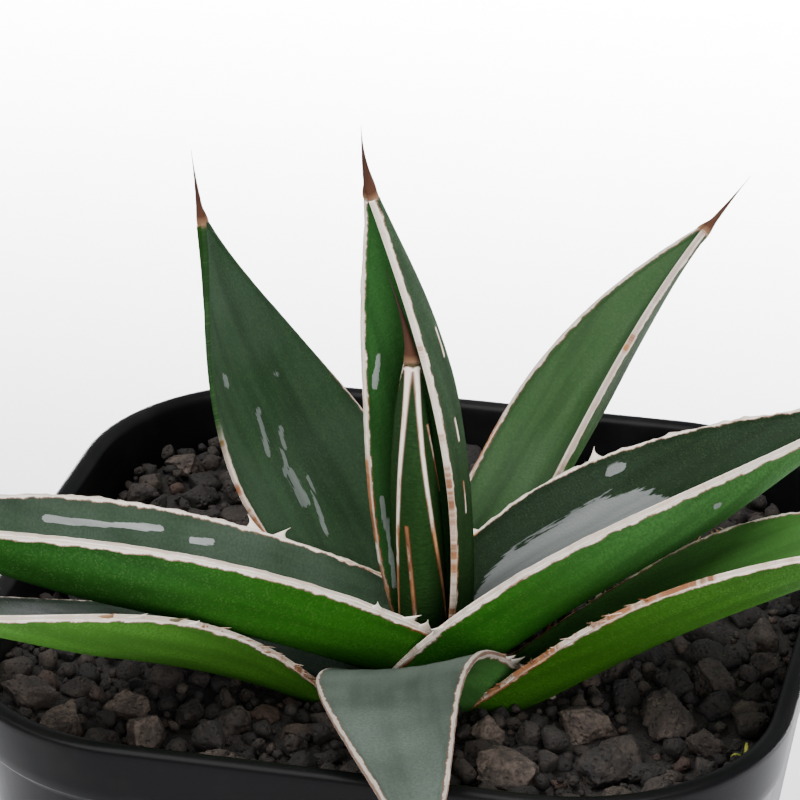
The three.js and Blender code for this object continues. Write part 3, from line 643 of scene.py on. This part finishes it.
def leaf_material(leaf):
    """Agave skin: a waxy cuticle over green flesh, so the colour is deep and the shine is broad and soft.

    The horny margin is dead fibre, cream and dull with a brown outline; the spine is the same, darker.
    """
    material, add, shader = new_material(f"agave_skin_{leaf.name}")
    at = skin_places(add)
    film = film_cover(add, leaf, at)
    film_colour = add(MIX, {0: at.bands, 6: linear(leaf.film_colour), 7: linear("#5A5E5C")}, **BLEND)
    skin = add(MIX, {0: film, 6: flesh_colour(add, leaf, at), 7: film_colour}, **BLEND)
    wobble = add(NOISE, {"Vector": at.even, "Scale": 0.5, "Detail": 5.0, "Roughness": 0.65})
    in_horn, outline = horn_cover(add, leaf, at, wobble)
    colour = add(MIX, {0: in_horn, 6: skin, 7: horn_colour(add, leaf, at, outline)}, **BLEND)
    colour = with_spine(add, leaf, at, colour)

    waxy = add(NOISE, {"Vector": at.even, "Scale": 0.5, "Detail": 3.0})
    roughness = add(MIX, {0: in_horn, 2: add(RANGE, (waxy, 0.0, 1.0, 0.34, 0.52)), 3: 0.6})
    normal = skin_bump(add, leaf, at, in_horn, film)
    finish_material(shader, colour, roughness, normal, 1.45)
    # The wax is too thin and broken to mirror a bright floor at a grazing angle, so only the coat shines.
    shader.inputs["Specular IOR Level"].default_value = 0.0
    shader.inputs["Coat Weight"].default_value = leaf.gloss
    shader.inputs["Coat Roughness"].default_value = 0.4
    shader.inputs["Coat IOR"].default_value = 1.4
    shader.id_data.links.new(normal, shader.inputs["Coat Normal"])
    return material


def finish_material(shader, colour, roughness, normal, ior):
    """Links the worked-out colour, roughness and normal to the shader and sets its index of refraction."""
    links = shader.id_data.links
    links.new(colour, shader.inputs["Base Color"])
    if isinstance(roughness, bpy.types.NodeSocket):
        links.new(roughness, shader.inputs["Roughness"])
    else:
        shader.inputs["Roughness"].default_value = roughness
    if normal:
        links.new(normal, shader.inputs["Normal"])
    shader.inputs["IOR"].default_value = ior


def pot_material():
    """Injection-moulded polypropylene, satin black: a dark body with soft, slightly blurred reflections."""
    material, add, shader = new_material("moulded_black_polypropylene")
    place = add(COORDINATES, output=3)
    body = (*bpy.context.scene.agave_pot.colour, 1)
    film = add(NOISE, {"Vector": place, "Scale": 35.0, "Detail": 4.0, "Roughness": 0.6})
    colour = add(MIX, {0: add(RANGE, (film, 0.45, 0.8, 0.0, 0.06)), 6: body, 7: linear("#8A8580")}, **BLEND)
    specks = add(RANGE, (add(CELLS, {"Vector": place, "Scale": 160.0}), 0.10, 0.05, 0.0, 0.5), **SMOOTH)
    dusty = add(RANGE, (add(NOISE, {"Vector": place, "Scale": 90.0}), 0.58, 0.70), **SMOOTH)
    dust = add(MATH, (specks, dusty), operation="MULTIPLY")
    colour = add(MIX, {0: dust, 6: colour, 7: linear("#A39B92")}, **BLEND)
    rubbed = add(NOISE, {"Vector": place, "Scale": 60.0, "Detail": 3.0})
    roughness = add(RANGE, (rubbed, 0.0, 1.0, 0.28, 0.40))
    grain = add(NOISE, {"Vector": place, "Scale": 1800.0})
    normal = add(BUMP, {"Height": grain, "Strength": 0.12, "Distance": 0.00005})
    finish_material(shader, colour, roughness, normal, 1.38)
    shader.inputs["Specular IOR Level"].default_value = 0.12
    return material


def lava_material(name, dark, middle, light):
    """Scoria: glassy lava full of gas bubbles, broken rough, so it is dark, dull and pitted."""
    material, add, shader = new_material(name)
    place = add(COORDINATES, output=3)
    tint = add(ATTRIBUTE, output=2, attribute_name="tint")
    broad = add(NOISE, {"Vector": place, "Scale": 420.0, "Detail": 4.0, "Roughness": 0.6})
    fine = add(NOISE, {"Vector": place, "Scale": 2600.0, "Detail": 3.0, "Roughness": 0.7})
    shade = add(MIX, {0: 0.4, 2: broad, 3: fine})
    shade = add(MATH, (tint, 0.30, shade), operation="MULTIPLY_ADD")
    colour = add(RAMP, (shade,), stops=((0.45, dark), (0.67, middle), (0.90, light)))
    reddish = add(RANGE, (tint, 0.90, 0.96, 0.0, 0.6))
    colour = add(MIX, {0: reddish, 6: colour, 7: linear("#3A241B")}, **BLEND)
    bubbles = add(CELLS, {"Vector": place, "Scale": 1500.0})
    height = add(MIX, {0: 0.4, 2: add(RANGE, (bubbles, 0.05, 0.45), **SMOOTH), 3: fine})
    normal = add(BUMP, {"Height": height, "Strength": 0.9, "Distance": 0.0004})
    finish_material(shader, colour, 0.85, normal, 1.5)
    return material


def root_material():
    """Young root bark: fibrous, pale tan and quite dull."""
    material, add, shader = new_material("fibrous_root_bark")
    place = add(COORDINATES, output=3)
    squeezed = add("ShaderNodeMapping", {"Vector": place, "Scale": (1.0, 1.0, 0.15)})
    fibres = add(NOISE, {"Vector": squeezed, "Scale": 900.0, "Detail": 4.0})
    colour = add(RAMP, (fibres,), stops=((0.3, "#7C6442"), (0.6, "#B59C6C"), (0.8, "#CDBB90")))
    normal = add(BUMP, {"Height": fibres, "Strength": 0.5, "Distance": 0.0002})
    finish_material(shader, colour, 0.8, normal, 1.45)
    return material


def moss_material():
    """A living shoot: thin wet leaf tissue, bright yellow-green."""
    material, add, shader = new_material("moss_shoot")
    place = add(COORDINATES, output=3)
    mottled = add(NOISE, {"Vector": place, "Scale": 900.0})
    colour = add(RAMP, (mottled,), stops=((0.3, "#4A5612"), (0.7, "#868424")))
    finish_material(shader, colour, 0.5, None, 1.4)
    return material


def board_material():
    """Matt white paper board: even, dull and very slightly cool."""
    material, add, shader = new_material("matt_white_board")
    mottled = add(NOISE, {"Vector": add(COORDINATES, output=3), "Scale": 3.0})
    colour = add(MIX, {0: mottled, 6: linear("#F4F4F8"), 7: linear("#F7F7FB")}, **BLEND)
    finish_material(shader, colour, 0.9, None, 1.45)
    return material


# ------------------------------------------------------------------ pot
POT_FLOOR = 3.0  # height of the floor inside
ROLL = 0.7  # height of the round top of the rim
RECESS = 1.4  # how far the underside is hollowed out round its centre pad
FOOT_RING = 4.5  # width of the ring that the pot stands on
PAD_RADIUS = 9.0
SLOT_WIDTH = 6.0
SLOT_START = 12.0  # distance from the middle at which a drainage slot starts
HOLE_RADIUS = 4.0
HOLE_OFFSET = 17.0


def rounded_square(half, corner, z, arc_steps=18):
    """Ring of points round a square with rounded corners."""
    ring = []
    for quarter in range(4):
        turn = math.radians(quarter * 90)
        cx = (half - corner) * (math.cos(turn) - math.sin(turn))
        cy = (half - corner) * (math.sin(turn) + math.cos(turn))
        for step in range(arc_steps + 1):
            angle = turn + math.radians(90) * step / arc_steps
            ring.append((cx + corner * math.cos(angle), cy + corner * math.sin(angle), z))
    return np.array(ring)


def pot_ring(z, inset):
    """Ring of the pot's wall at height z, moved inwards by inset."""
    pot = bpy.context.scene.agave_pot
    share = z / (pot.height / MM)
    foot, rim, step = pot.foot_side / MM / 2, pot.rim_side / MM / 2, pot.rim_step / MM
    half = foot + (rim - step - foot) * share
    corner = pot.foot_corner / MM + (pot.rim_corner / MM - step - pot.foot_corner / MM) * share
    return rounded_square(half - inset, corner - inset, z)


def pot_profile():
    """(height, inset) down the wall from the underside, over the rolled rim and down the inside."""
    pot = bpy.context.scene.agave_pot
    height, wall, step, band = (getattr(pot, key) / MM for key in ("height", "wall", "rim_step", "rim_band"))
    ledge = height - band
    foot = [(0.0, 1.0), (0.25, 0.45), (0.8, 0.1), (1.6, 0.0)]
    outside = [(z, 0.0) for z in np.linspace(6, ledge - 1.2, 12)]
    fillet = [(ledge - 0.7, -0.08), (ledge - 0.35, -0.4 * step), (ledge - 0.1, -0.85 * step),
              (ledge + 0.25, -step)]
    rim_band = [(z, -step) for z in np.linspace(ledge + 1.5, height - 1.2, 4)]
    middle, reach = (wall - step) / 2, (wall + step) / 2
    roll = [(height - ROLL + ROLL * math.sin(angle), middle - reach * math.cos(angle))
            for angle in np.linspace(0, math.pi, 13)]
    inside = [(z, wall) for z in np.linspace(height - 1.5, POT_FLOOR + 2.5, 8)]
    floor_fillet = [(POT_FLOOR + 1.2, wall + 0.25), (POT_FLOOR + 0.4, wall + 0.9), (POT_FLOOR, wall + 2.0)]
    return foot + outside + fillet + rim_band + roll + inside + floor_fillet


def tool_object(fill):
    """A closed tool for cutting; fill puts its shape into an empty bmesh."""
    bm = bmesh.new()
    fill(bm)
    mesh = bpy.data.meshes.new("pot_tool")
    bm.to_mesh(mesh)
    bm.free()
    tool = bpy.data.objects.new("pot_tool", mesh)
    bpy.context.scene.collection.objects.link(tool)
    return tool


def cut(piece, tool):
    """Takes the tool out of the piece, in its mesh, and removes the tool."""
    modifier = piece.modifiers.new("cut", "BOOLEAN")
    modifier.operation = "DIFFERENCE"
    modifier.solver = "EXACT"
    modifier.object = tool
    depsgraph = bpy.context.evaluated_depsgraph_get()
    mesh = bpy.data.meshes.new_from_object(piece.evaluated_get(depsgraph))
    piece.modifiers.clear()
    piece.data = mesh
    bpy.data.objects.remove(tool)


def recess_tool(bm, foot_half, foot_corner):
    """The hollow of the underside: a rounded square with a round pad left standing in its middle."""
    arc_steps = 8
    outline = [rounded_square(foot_half - FOOT_RING, foot_corner - FOOT_RING, z, arc_steps)
               for z in (-1.0, RECESS)]
    count = len(outline[0])
    angles = [2 * math.pi * (k + (arc_steps + 1) / 2) / count for k in range(count)]
    pad = [[(PAD_RADIUS * math.cos(a), PAD_RADIUS * math.sin(a), z) for a in angles] for z in (-1.0, RECESS)]
    outer_low, outer_high, inner_low, inner_high = (
        [bm.verts.new(Vector(p) * MM) for p in ring] for ring in (*outline, *pad))
    for k in range(count):
        n = (k + 1) % count
        bm.faces.new((outer_low[k], outer_low[n], outer_high[n], outer_high[k]))
        bm.faces.new((inner_low[n], inner_low[k], inner_high[k], inner_high[n]))
        bm.faces.new((outer_high[k], outer_high[n], inner_high[n], inner_high[k]))
        bm.faces.new((outer_low[n], outer_low[k], inner_low[k], inner_low[n]))


def slot_tool(bm, foot_half, turn):
    """A drainage slot through the foot ring, in the middle of one side."""
    end = foot_half + 2
    size = Matrix.Diagonal((end - SLOT_START, SLOT_WIDTH, 2 * RECESS, 1.0 / MM)) * MM
    middle = Matrix.Translation(((end + SLOT_START) / 2 * MM, 0, 0))
    bmesh.ops.create_cube(bm, size=1.0, matrix=Matrix.Rotation(turn, 4, "Z") @ middle @ size)


def hole_tool(bm, turn):
    """One of the drain holes round the centre pad."""
    place = Matrix.Translation((HOLE_OFFSET * MM * math.cos(turn), HOLE_OFFSET * MM * math.sin(turn), 0))
    bmesh.ops.create_cone(bm, cap_ends=True, segments=32, radius1=HOLE_RADIUS * MM,
                          radius2=HOLE_RADIUS * MM, depth=12 * MM, matrix=place)


def underside_tools(pot):
    """Recess with a centre pad, four drainage slots and eight drain holes, as closed tools."""
    half, corner = pot.foot_side / MM / 2, pot.foot_corner / MM
    yield tool_object(partial(recess_tool, foot_half=half, foot_corner=corner))
    for side in range(4):
        yield tool_object(partial(slot_tool, foot_half=half, turn=math.radians(90 * side)))
    for hole in range(8):
        yield tool_object(partial(hole_tool, turn=math.radians(45 * hole)))


class AGAVE_OT_pot(bpy.types.Operator):
    """Moulded square pot with its rolled rim, foot ring, centre pad and drain holes"""

    bl_idname = "agave.pot"
    bl_label = "Pot"

    def execute(self, context):
        rings = [pot_ring(z, inset) for z, inset in pot_profile()]
        points = [point for ring in rings for point in ring]
        piece = make_object("nursery_pot", points, stitch(rings))
        for tool in underside_tools(context.scene.agave_pot):
            cut(piece, tool)
        piece.data.materials.clear()
        piece.data.materials.append(pot_material())
        piece.data.polygons.foreach_set("use_smooth", [True] * len(piece.data.polygons))
        piece.data.set_sharp_from_angle(angle=math.radians(32))
        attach(piece, "root")
        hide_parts("pot")
        return {"FINISHED"}


# ------------------------------------------------------------------ gravel
BED_LEVEL = SOIL_LEVEL - 2.6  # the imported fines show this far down, between the loose grains
HIGHEST_GRAIN = SOIL_LEVEL + 2.2  # no grain's top stands higher than this
MOUTH_HALF = 43.0  # half the side of the square that grains are dropped over
STRUCK_FACES = 18  # faces struck off a round stone to break it
DROP_TRIES = 14  # places tried for each grain; it stays in the lowest


def broken_ball(seed, detail):
    """Points and triangles of a broken stone of radius about 1: a ball with faces struck off it."""
    bm = bmesh.new()
    bmesh.ops.create_icosphere(bm, subdivisions=detail, radius=1.0)
    points = np.array([v.co[:] for v in bm.verts])
    faces = [tuple(v.index for v in f.verts) for f in bm.faces]
    bm.free()
    rng = np.random.default_rng(seed)
    for _ in range(STRUCK_FACES):
        normal = rng.normal(size=3)
        normal /= np.linalg.norm(normal)
        over = points @ normal - rng.uniform(0.5, 0.85)
        points -= np.clip(over, 0, None)[:, None] * normal
    lumps = wavy(points, 0.6, seed) * 0.1 + wavy(points, 0.25, seed + 3) * 0.06
    if detail > 3:
        lumps += wavy(points, 0.1, seed + 5) * 0.028
    return points * (1 + lumps[:, None]), faces


class AGAVE_OT_stones(bpy.types.Operator):
    """Larger lava stones lying on the gravel, each in the place of its CAD solid"""

    bl_idname = "agave.stones"
    bl_label = "Top stones"

    def execute(self, context):
        material = lava_material("broken_lava_stone", "#0F0B09", "#332A24", "#66584E")
        rng = np.random.default_rng(5)
        for name in sorted(n for n in frame["nodes"] if n.startswith("stone_")):
            low, high = (np.array(corner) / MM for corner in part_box(name))
            size = high - low
            number = int(name.split("_")[1])
            points, faces = broken_ball(number * 7 + 1, 5 if size.max() > 5 else 4)
            points = points * (size / 2 / np.abs(points).max(0)) + (low + high) / 2
            piece = make_object(f"lava_{name}", points, faces, {"tint": [rng.random() * 0.85] * len(points)})
            piece.data.materials.append(material)
            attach(piece, "root")
            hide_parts(name)
        return {"FINISHED"}


class HeightField:
    """Height of the gravel so far, on a square grid over the pot's mouth, to drop grains on."""

    def __init__(self, half, level, pitch=0.5):
        self.half, self.pitch = half, pitch
        count = int(2 * half / pitch) + 1
        self.height = np.full((count, count), level)

    def window(self, x, y, radius):
        """The part of the grid round x, y, and each of its points' squared distance from x, y."""
        low = [max(int((v - radius + self.half) / self.pitch), 0) for v in (x, y)]
        high = [int((v + radius + self.half) / self.pitch) + 2 for v in (x, y)]
        part = self.height[low[0]:high[0], low[1]:high[1]]
        gx = (np.arange(part.shape[0]) + low[0]) * self.pitch - self.half - x
        gy = (np.arange(part.shape[1]) + low[1]) * self.pitch - self.half - y
        return part, gx[:, None] ** 2 + gy[None] ** 2

    def rest(self, x, y, radius, flatness):
        """Height of the middle of a flattened ball that comes to rest at x, y."""
        part, square = self.window(x, y, radius)
        inside = square < radius ** 2
        if not inside.any():
            return None
        under = flatness * np.sqrt(np.clip(radius ** 2 - square, 0, None))
        return float((part + under)[inside].max())

    def fill(self, x, y, z, radius, flatness):
        """Raises the grid to the top of a flattened ball at x, y, z."""
        part, square = self.window(x, y, radius)
        top = z + flatness * np.sqrt(np.clip(radius ** 2 - square, 0, None))
        np.maximum(part, np.where(square < radius ** 2, top, part), out=part)


def in_mouth(x, y, margin):
    """True if x, y lies inside the pot's mouth, at least margin mm from the wall."""
    pot = bpy.context.scene.agave_pot
    half = pot.rim_side / MM / 2 - pot.rim_step / MM - pot.wall / MM - 0.8 - margin
    corner = pot.rim_corner / MM - pot.wall / MM - 1.5 - margin
    dx, dy = max(abs(x) - (half - corner), 0), max(abs(y) - (half - corner), 0)
    return math.hypot(dx, dy) < corner


class AGAVE_OT_gravel(bpy.types.Operator):
    """Small lava grains dropped one by one round the stones and the plant"""

    bl_idname = "agave.gravel"
    bl_label = "Gravel grains"

    def execute(self, context):
        gravel = context.scene.agave_gravel
        plant = plant_points()
        heights = HeightField(MOUTH_HALF, level=BED_LEVEL)
        for name in (n for n in frame["nodes"] if n.startswith("stone_")):
            low, high = (np.array(corner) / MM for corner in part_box(name))
            middle, size = (low + high) / 2, high - low
            heights.fill(*middle, max(size[:2]) * 0.42, size[2] / max(size[:2]))
        rng = np.random.default_rng(gravel.seed)
        material = lava_material("lava_gravel_grains", "#0A0706", "#1D1713", "#3C322A")
        sizes = (("gravel_coarse", gravel.coarse_count, (1.9, 3.1), 0.3, 3),
                 ("gravel_middle", gravel.middle_count, (1.1, 1.9), 0.25, 2),
                 ("gravel_fine", gravel.fine_count, (0.5, 1.1), 0.12, 1))
        for name, count, radii, sink, detail in sizes:
            piece = join_grains(name, drop_grains(rng, heights, plant, count, radii, sink), detail)
            piece.data.materials.append(material)
            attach(piece, "root")
        gravel_bed(material)
        return {"FINISHED"}


def gravel_bed(material):
    """Packed fines that fill the pot under the loose grains: the pot's inner shape with a rough top."""
    low, high = (np.array(corner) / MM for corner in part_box("substrate"))
    rings = []
    for z in np.linspace(low[2], BED_LEVEL - 0.3, 12):
        rings.append(pot_ring(z, bpy.context.scene.agave_pot.wall / MM + 0.35))
    outline = rings[-1] + (0, 0, 0.3)
    for share in np.linspace(1, 0.02, 70):
        ring = outline * (share, share, 1)
        ring[:, 2] += 0.45 * wavy(ring, 2.2, 1) * (share < 0.99) + 0.25 * wavy(ring, 0.9, 2)
        rings.append(ring)
    points = [point for ring in rings for point in ring]
    piece = make_object("gravel_bed", points, stitch(rings), {"tint": [0.3] * len(points)})
    piece.data.materials.append(material)
    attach(piece, "root")
    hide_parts("substrate")


def plant_points():
    """All points of the leaves, in mm, to keep the grains off them."""
    pieces = [piece for piece in bpy.data.objects if piece.name.startswith("agave_leaf_")]
    tree = kdtree.KDTree(sum(len(piece.data.vertices) for piece in pieces))
    for piece in pieces:
        for vertex in piece.data.vertices:
            tree.insert(vertex.co / MM, 0)
    tree.balance()
    return tree


def drop_grains(rng, heights, plant, count, radii, sink):
    """Drops grains at the lowest of a few random places; returns (x, y, z, radius, flatness) rows."""
    grains = []
    for _ in range(count):
        radius = radii[0] + (radii[1] - radii[0]) * rng.random() ** 1.8
        flatness = rng.uniform(0.65, 0.95)
        best = None
        for _ in range(DROP_TRIES):
            x, y = rng.uniform(1 - MOUTH_HALF, MOUTH_HALF - 1, 2)
            if not in_mouth(x, y, radius * 0.8):
                continue
            z = heights.rest(x, y, radius * 0.8, flatness)
            if z is not None and (best is None or z < best[2]):
                best = (x, y, z)
        if best is None:
            continue
        x, y, z = best
        z -= sink * radius
        _, _, distance = plant.find((x, y, z))
        if z + radius * flatness > HIGHEST_GRAIN or distance < radius * 0.85:
            continue
        heights.fill(x, y, z, radius, flatness)
        grains.append((x, y, z, radius, flatness))
    return grains


def join_grains(name, grains, detail):
    """All grains of one size class as a single mesh, turned copies of a few broken stones."""
    rng = np.random.default_rng(len(grains))
    models = [broken_ball(200 + k, detail) for k in range(9)]
    points, faces, tints = [], [], []
    start = 0
    for x, y, z, radius, flatness in grains:
        shape, triangles = models[rng.integers(len(models))]
        turn = np.array(Euler(rng.uniform(0, 2 * math.pi, 3)).to_matrix())
        size = radius * np.array([1.0, rng.uniform(0.75, 1.0), flatness]) * 1.12
        spin = np.array(Euler((0, 0, rng.uniform(0, 2 * math.pi))).to_matrix())
        points.append((shape @ turn.T * size) @ spin.T + (x, y, z))
        faces.extend(tuple(start + i for i in triangle) for triangle in triangles)
        tints.append(np.full(len(shape), rng.random()))
        start += len(shape)
    return make_object(name, np.vstack(points), faces, {"tint": np.concatenate(tints)})


class AGAVE_OT_sprig(bpy.types.Operator):
    """Tiny moss shoot between the stones by the right front corner"""

    bl_idname = "agave.sprig"
    bl_label = "Moss shoot"

    def execute(self, context):
        points, faces = [], []
        root = np.array([40.4, -24.6, SOIL_LEVEL - 0.5])
        for bearing, length, rise in ((200, 1.6, 0.7), (95, 2.0, 1.0), (60, 1.6, 0.6)):
            outward = np.array([math.cos(math.radians(bearing)), math.sin(math.radians(bearing)), 0])
            sideways = np.array([-outward[1], outward[0], 0])
            rings = []
            for share in np.linspace(0, 1, 9):
                centre = root + outward * length * share
                centre = centre + np.array([0, 0, rise * math.sin(share * 2.4) * 1.3])
                radius = 0.26 * (1 - share) ** 0.6 + 0.03
                upwards = np.array([0, 0, radius * 0.6])
                rings.append([centre + sideways * radius * math.cos(a) + upwards * math.sin(a)
                              for a in np.linspace(0, 2 * math.pi, 7, endpoint=False)])
            faces.extend(stitch(rings, len(points)))
            points.extend(p for ring in rings for p in ring)
        piece = make_object("moss_shoot", points, faces)
        piece.data.materials.append(moss_material())
        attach(piece, "root")
        return {"FINISHED"}


class AGAVE_OT_leaves(bpy.types.Operator):
    """Nine leaves, each with its skin, horny margin, teeth, marks and terminal spine"""

    bl_idname = "agave.leaves"
    bl_label = "Leaves"

    def execute(self, context):
        for leaf in LEAVES:
            build_leaf(leaf)
        return {"FINISHED"}


class AGAVE_OT_stem(bpy.types.Operator):
    """Bark on the stem and roots, which keep their CAD shape in the gravel"""

    bl_idname = "agave.stem"
    bl_label = "Stem and roots"

    def execute(self, context):
        stem = frame["nodes"]["stem_and_roots"]
        for slot in stem.material_slots:
            slot.material = root_material()
        return {"FINISHED"}


# ------------------------------------------------------------------ stage
FLOOR_REACH = 4000.0
CAMERA_LENS = 180.0
CAMERA_SENSOR = 36.0
CAMERA_TURN = 13.25  # degrees round the pot, from its front towards its right
CAMERA_RISE = 25.54  # degrees above the floor
CAMERA_DISTANCE = 431.5
AIM_HEIGHT = 100.9
AIM_LEFT = 1.94  # how far the camera aims to the left of the pot's middle


def area_light(name, place, size, power, target):
    """A rectangular softbox at a place in metres, turned towards its target."""
    light = bpy.data.lights.new(name, "AREA")
    light.shape = "RECTANGLE"
    light.size, light.size_y = size
    light.energy = power
    lamp = bpy.data.objects.new(name, light)
    lamp.location = place
    lamp.rotation_euler = (Vector(target) - Vector(place)).to_track_quat("-Z", "Y").to_euler()
    bpy.context.scene.collection.objects.link(lamp)
    return lamp


def add_floor():
    corners = [(x * FLOOR_REACH, y * FLOOR_REACH, 0) for x, y in ((-1, -1), (1, -1), (1, 1), (-1, 1))]
    floor = make_object("floor", corners, [(0, 1, 2, 3)], smooth=False)
    floor.data.materials.append(board_material())


def add_lights(stage):
    """A soft, even fill, softboxes round the plant, and two lamps that whiten the floor beyond it."""
    world = bpy.data.worlds.new("studio")
    bpy.context.scene.world = world
    world.use_nodes = True
    background = world.node_tree.nodes["Background"]
    background.inputs["Color"].default_value = (0.95, 0.97, 1.0, 1.0)
    background.inputs["Strength"].default_value = stage.fill

    plant = (0.0, 0.0, 0.09)
    back_floor = area_light("back_floor_softbox", (0.0, 1.0, 0.9), (2.6, 1.2), stage.floor, (0.0, 1.0, 0.0))
    side_floor = area_light("side_floor_softbox", (0.5, 0.0, 0.9), (0.6, 0.9), stage.side, (0.5, 0.0, 0.0))
    back_floor.data.spread = side_floor.data.spread = math.radians(50)
    area_light("back_softbox", (0.35, 0.75, 0.55), (0.7, 0.5), stage.back, plant)
    area_light("overhead_softbox", (-0.3, -0.15, 0.9), (0.8, 0.8), stage.overhead, plant)
    area_light("front_softbox", (0.5, -0.9, 0.42), (0.9, 0.6), stage.front, plant)


def add_camera():
    """A long lens that looks down on the plant from the front, a little from the right."""
    camera = bpy.data.cameras.new("camera")
    camera.lens = CAMERA_LENS
    camera.sensor_width = CAMERA_SENSOR
    camera.clip_start, camera.clip_end = 0.01, 20.0
    holder = bpy.data.objects.new("camera", camera)
    turn, rise = math.radians(CAMERA_TURN), math.radians(CAMERA_RISE)
    back = Vector((math.sin(turn) * math.cos(rise), -math.cos(turn) * math.cos(rise), math.sin(rise)))
    target = Vector((-AIM_LEFT * math.cos(turn), -AIM_LEFT * math.sin(turn), AIM_HEIGHT)) * MM
    holder.location = target + back * CAMERA_DISTANCE * MM
    holder.rotation_euler = (-back).to_track_quat("-Z", "Y").to_euler()
    bpy.context.scene.collection.objects.link(holder)
    bpy.context.scene.camera = holder


class AGAVE_OT_stage(bpy.types.Operator):
    """Pale floor, soft studio light and the camera"""

    bl_idname = "agave.stage"
    bl_label = "Stage"

    def execute(self, context):
        add_floor()
        add_lights(context.scene.agave_stage)
        add_camera()
        return {"FINISHED"}


# ------------------------------------------------------------------ add-on
class PotSettings(bpy.types.PropertyGroup):
    """Sizes and colour of the pot"""

    height: FloatProperty(name="Height", description="Height of the pot", default=0.080, unit="LENGTH")
    rim_side: FloatProperty(name="Rim side", description="Width across the rim", default=0.090, unit="LENGTH")
    foot_side: FloatProperty(name="Foot side", description="Width at the foot", default=0.064, unit="LENGTH")
    rim_corner: FloatProperty(name="Rim corner", description="Corner radius of the rim", default=0.0236,
                              unit="LENGTH")
    foot_corner: FloatProperty(name="Foot corner", description="Corner radius at the foot", default=0.017,
                               unit="LENGTH")
    wall: FloatProperty(name="Wall", description="Wall thickness", default=0.0014, unit="LENGTH")
    rim_band: FloatProperty(name="Rim band", description="Height of the band under the rim", default=0.007,
                            unit="LENGTH")
    rim_step: FloatProperty(name="Rim step", description="How far the band stands out", default=0.0009,
                            unit="LENGTH")
    colour: FloatVectorProperty(name="Colour", description="Colour of the plastic", subtype="COLOR", size=3,
                                default=linear("#0C0C0D")[:3])


class GravelSettings(bpy.types.PropertyGroup):
    """How much loose gravel is dropped"""

    coarse_count: IntProperty(name="Coarse grains", description="Grains 4 to 6 mm across to try", default=230)
    middle_count: IntProperty(name="Middle grains", description="Grains 2 to 4 mm across to try", default=560)
    fine_count: IntProperty(name="Fine grains", description="Grains 1 to 2 mm across to try", default=1300)
    seed: IntProperty(name="Seed", description="Start of the random numbers", default=4)


class StageSettings(bpy.types.PropertyGroup):
    """Power of the lamps"""

    floor: FloatProperty(name="Floor light", description="Power of the lamp that whitens the floor behind",
                         default=320.0, unit="POWER")
    side: FloatProperty(name="Side floor light", description="Power of the lamp over the floor on the right",
                        default=3.0, unit="POWER")
    back: FloatProperty(name="Back light", description="Power of the softbox behind", default=0.3,
                        unit="POWER")
    overhead: FloatProperty(name="Overhead light", description="Power of the softbox above", default=12.0,
                            unit="POWER")
    front: FloatProperty(name="Front light", description="Power of the low softbox in front", default=14.0,
                         unit="POWER")
    fill: FloatProperty(name="Fill", description="Strength of the light from all round", default=0.4)


class AGAVE_PT_panel(bpy.types.Panel):
    """Lists the settings and the steps"""

    bl_idname = "AGAVE_PT_panel"
    bl_label = "Potted agave"
    bl_space_type = "VIEW_3D"
    bl_region_type = "UI"
    bl_category = "Agave"

    def draw(self, context):
        for group in ("agave_pot", "agave_gravel", "agave_stage"):
            settings = getattr(context.scene, group)
            box = self.layout.box()
            for key in settings.bl_rna.properties.keys():
                if key not in ("rna_type", "name"):
                    box.prop(settings, key)
        for operator in OPERATORS:
            self.layout.operator(operator.bl_idname)


OPERATORS = (AGAVE_OT_pot, AGAVE_OT_leaves, AGAVE_OT_stem, AGAVE_OT_stones, AGAVE_OT_gravel, AGAVE_OT_sprig,
             AGAVE_OT_stage)
SETTINGS = {"agave_pot": PotSettings, "agave_gravel": GravelSettings, "agave_stage": StageSettings}


def register():
    for cls in (*SETTINGS.values(), *OPERATORS, AGAVE_PT_panel):
        bpy.utils.register_class(cls)
    for name, cls in SETTINGS.items():
        setattr(bpy.types.Scene, name, PointerProperty(type=cls))


def unregister():
    for name in SETTINGS:
        delattr(bpy.types.Scene, name)
    for cls in reversed((*SETTINGS.values(), *OPERATORS, AGAVE_PT_panel)):
        bpy.utils.unregister_class(cls)


def main():
    register()
    for operator in OPERATORS:
        family, step = operator.bl_idname.split(".")
        getattr(getattr(bpy.ops, family), step)()


if __name__ == "__main__":
    main()
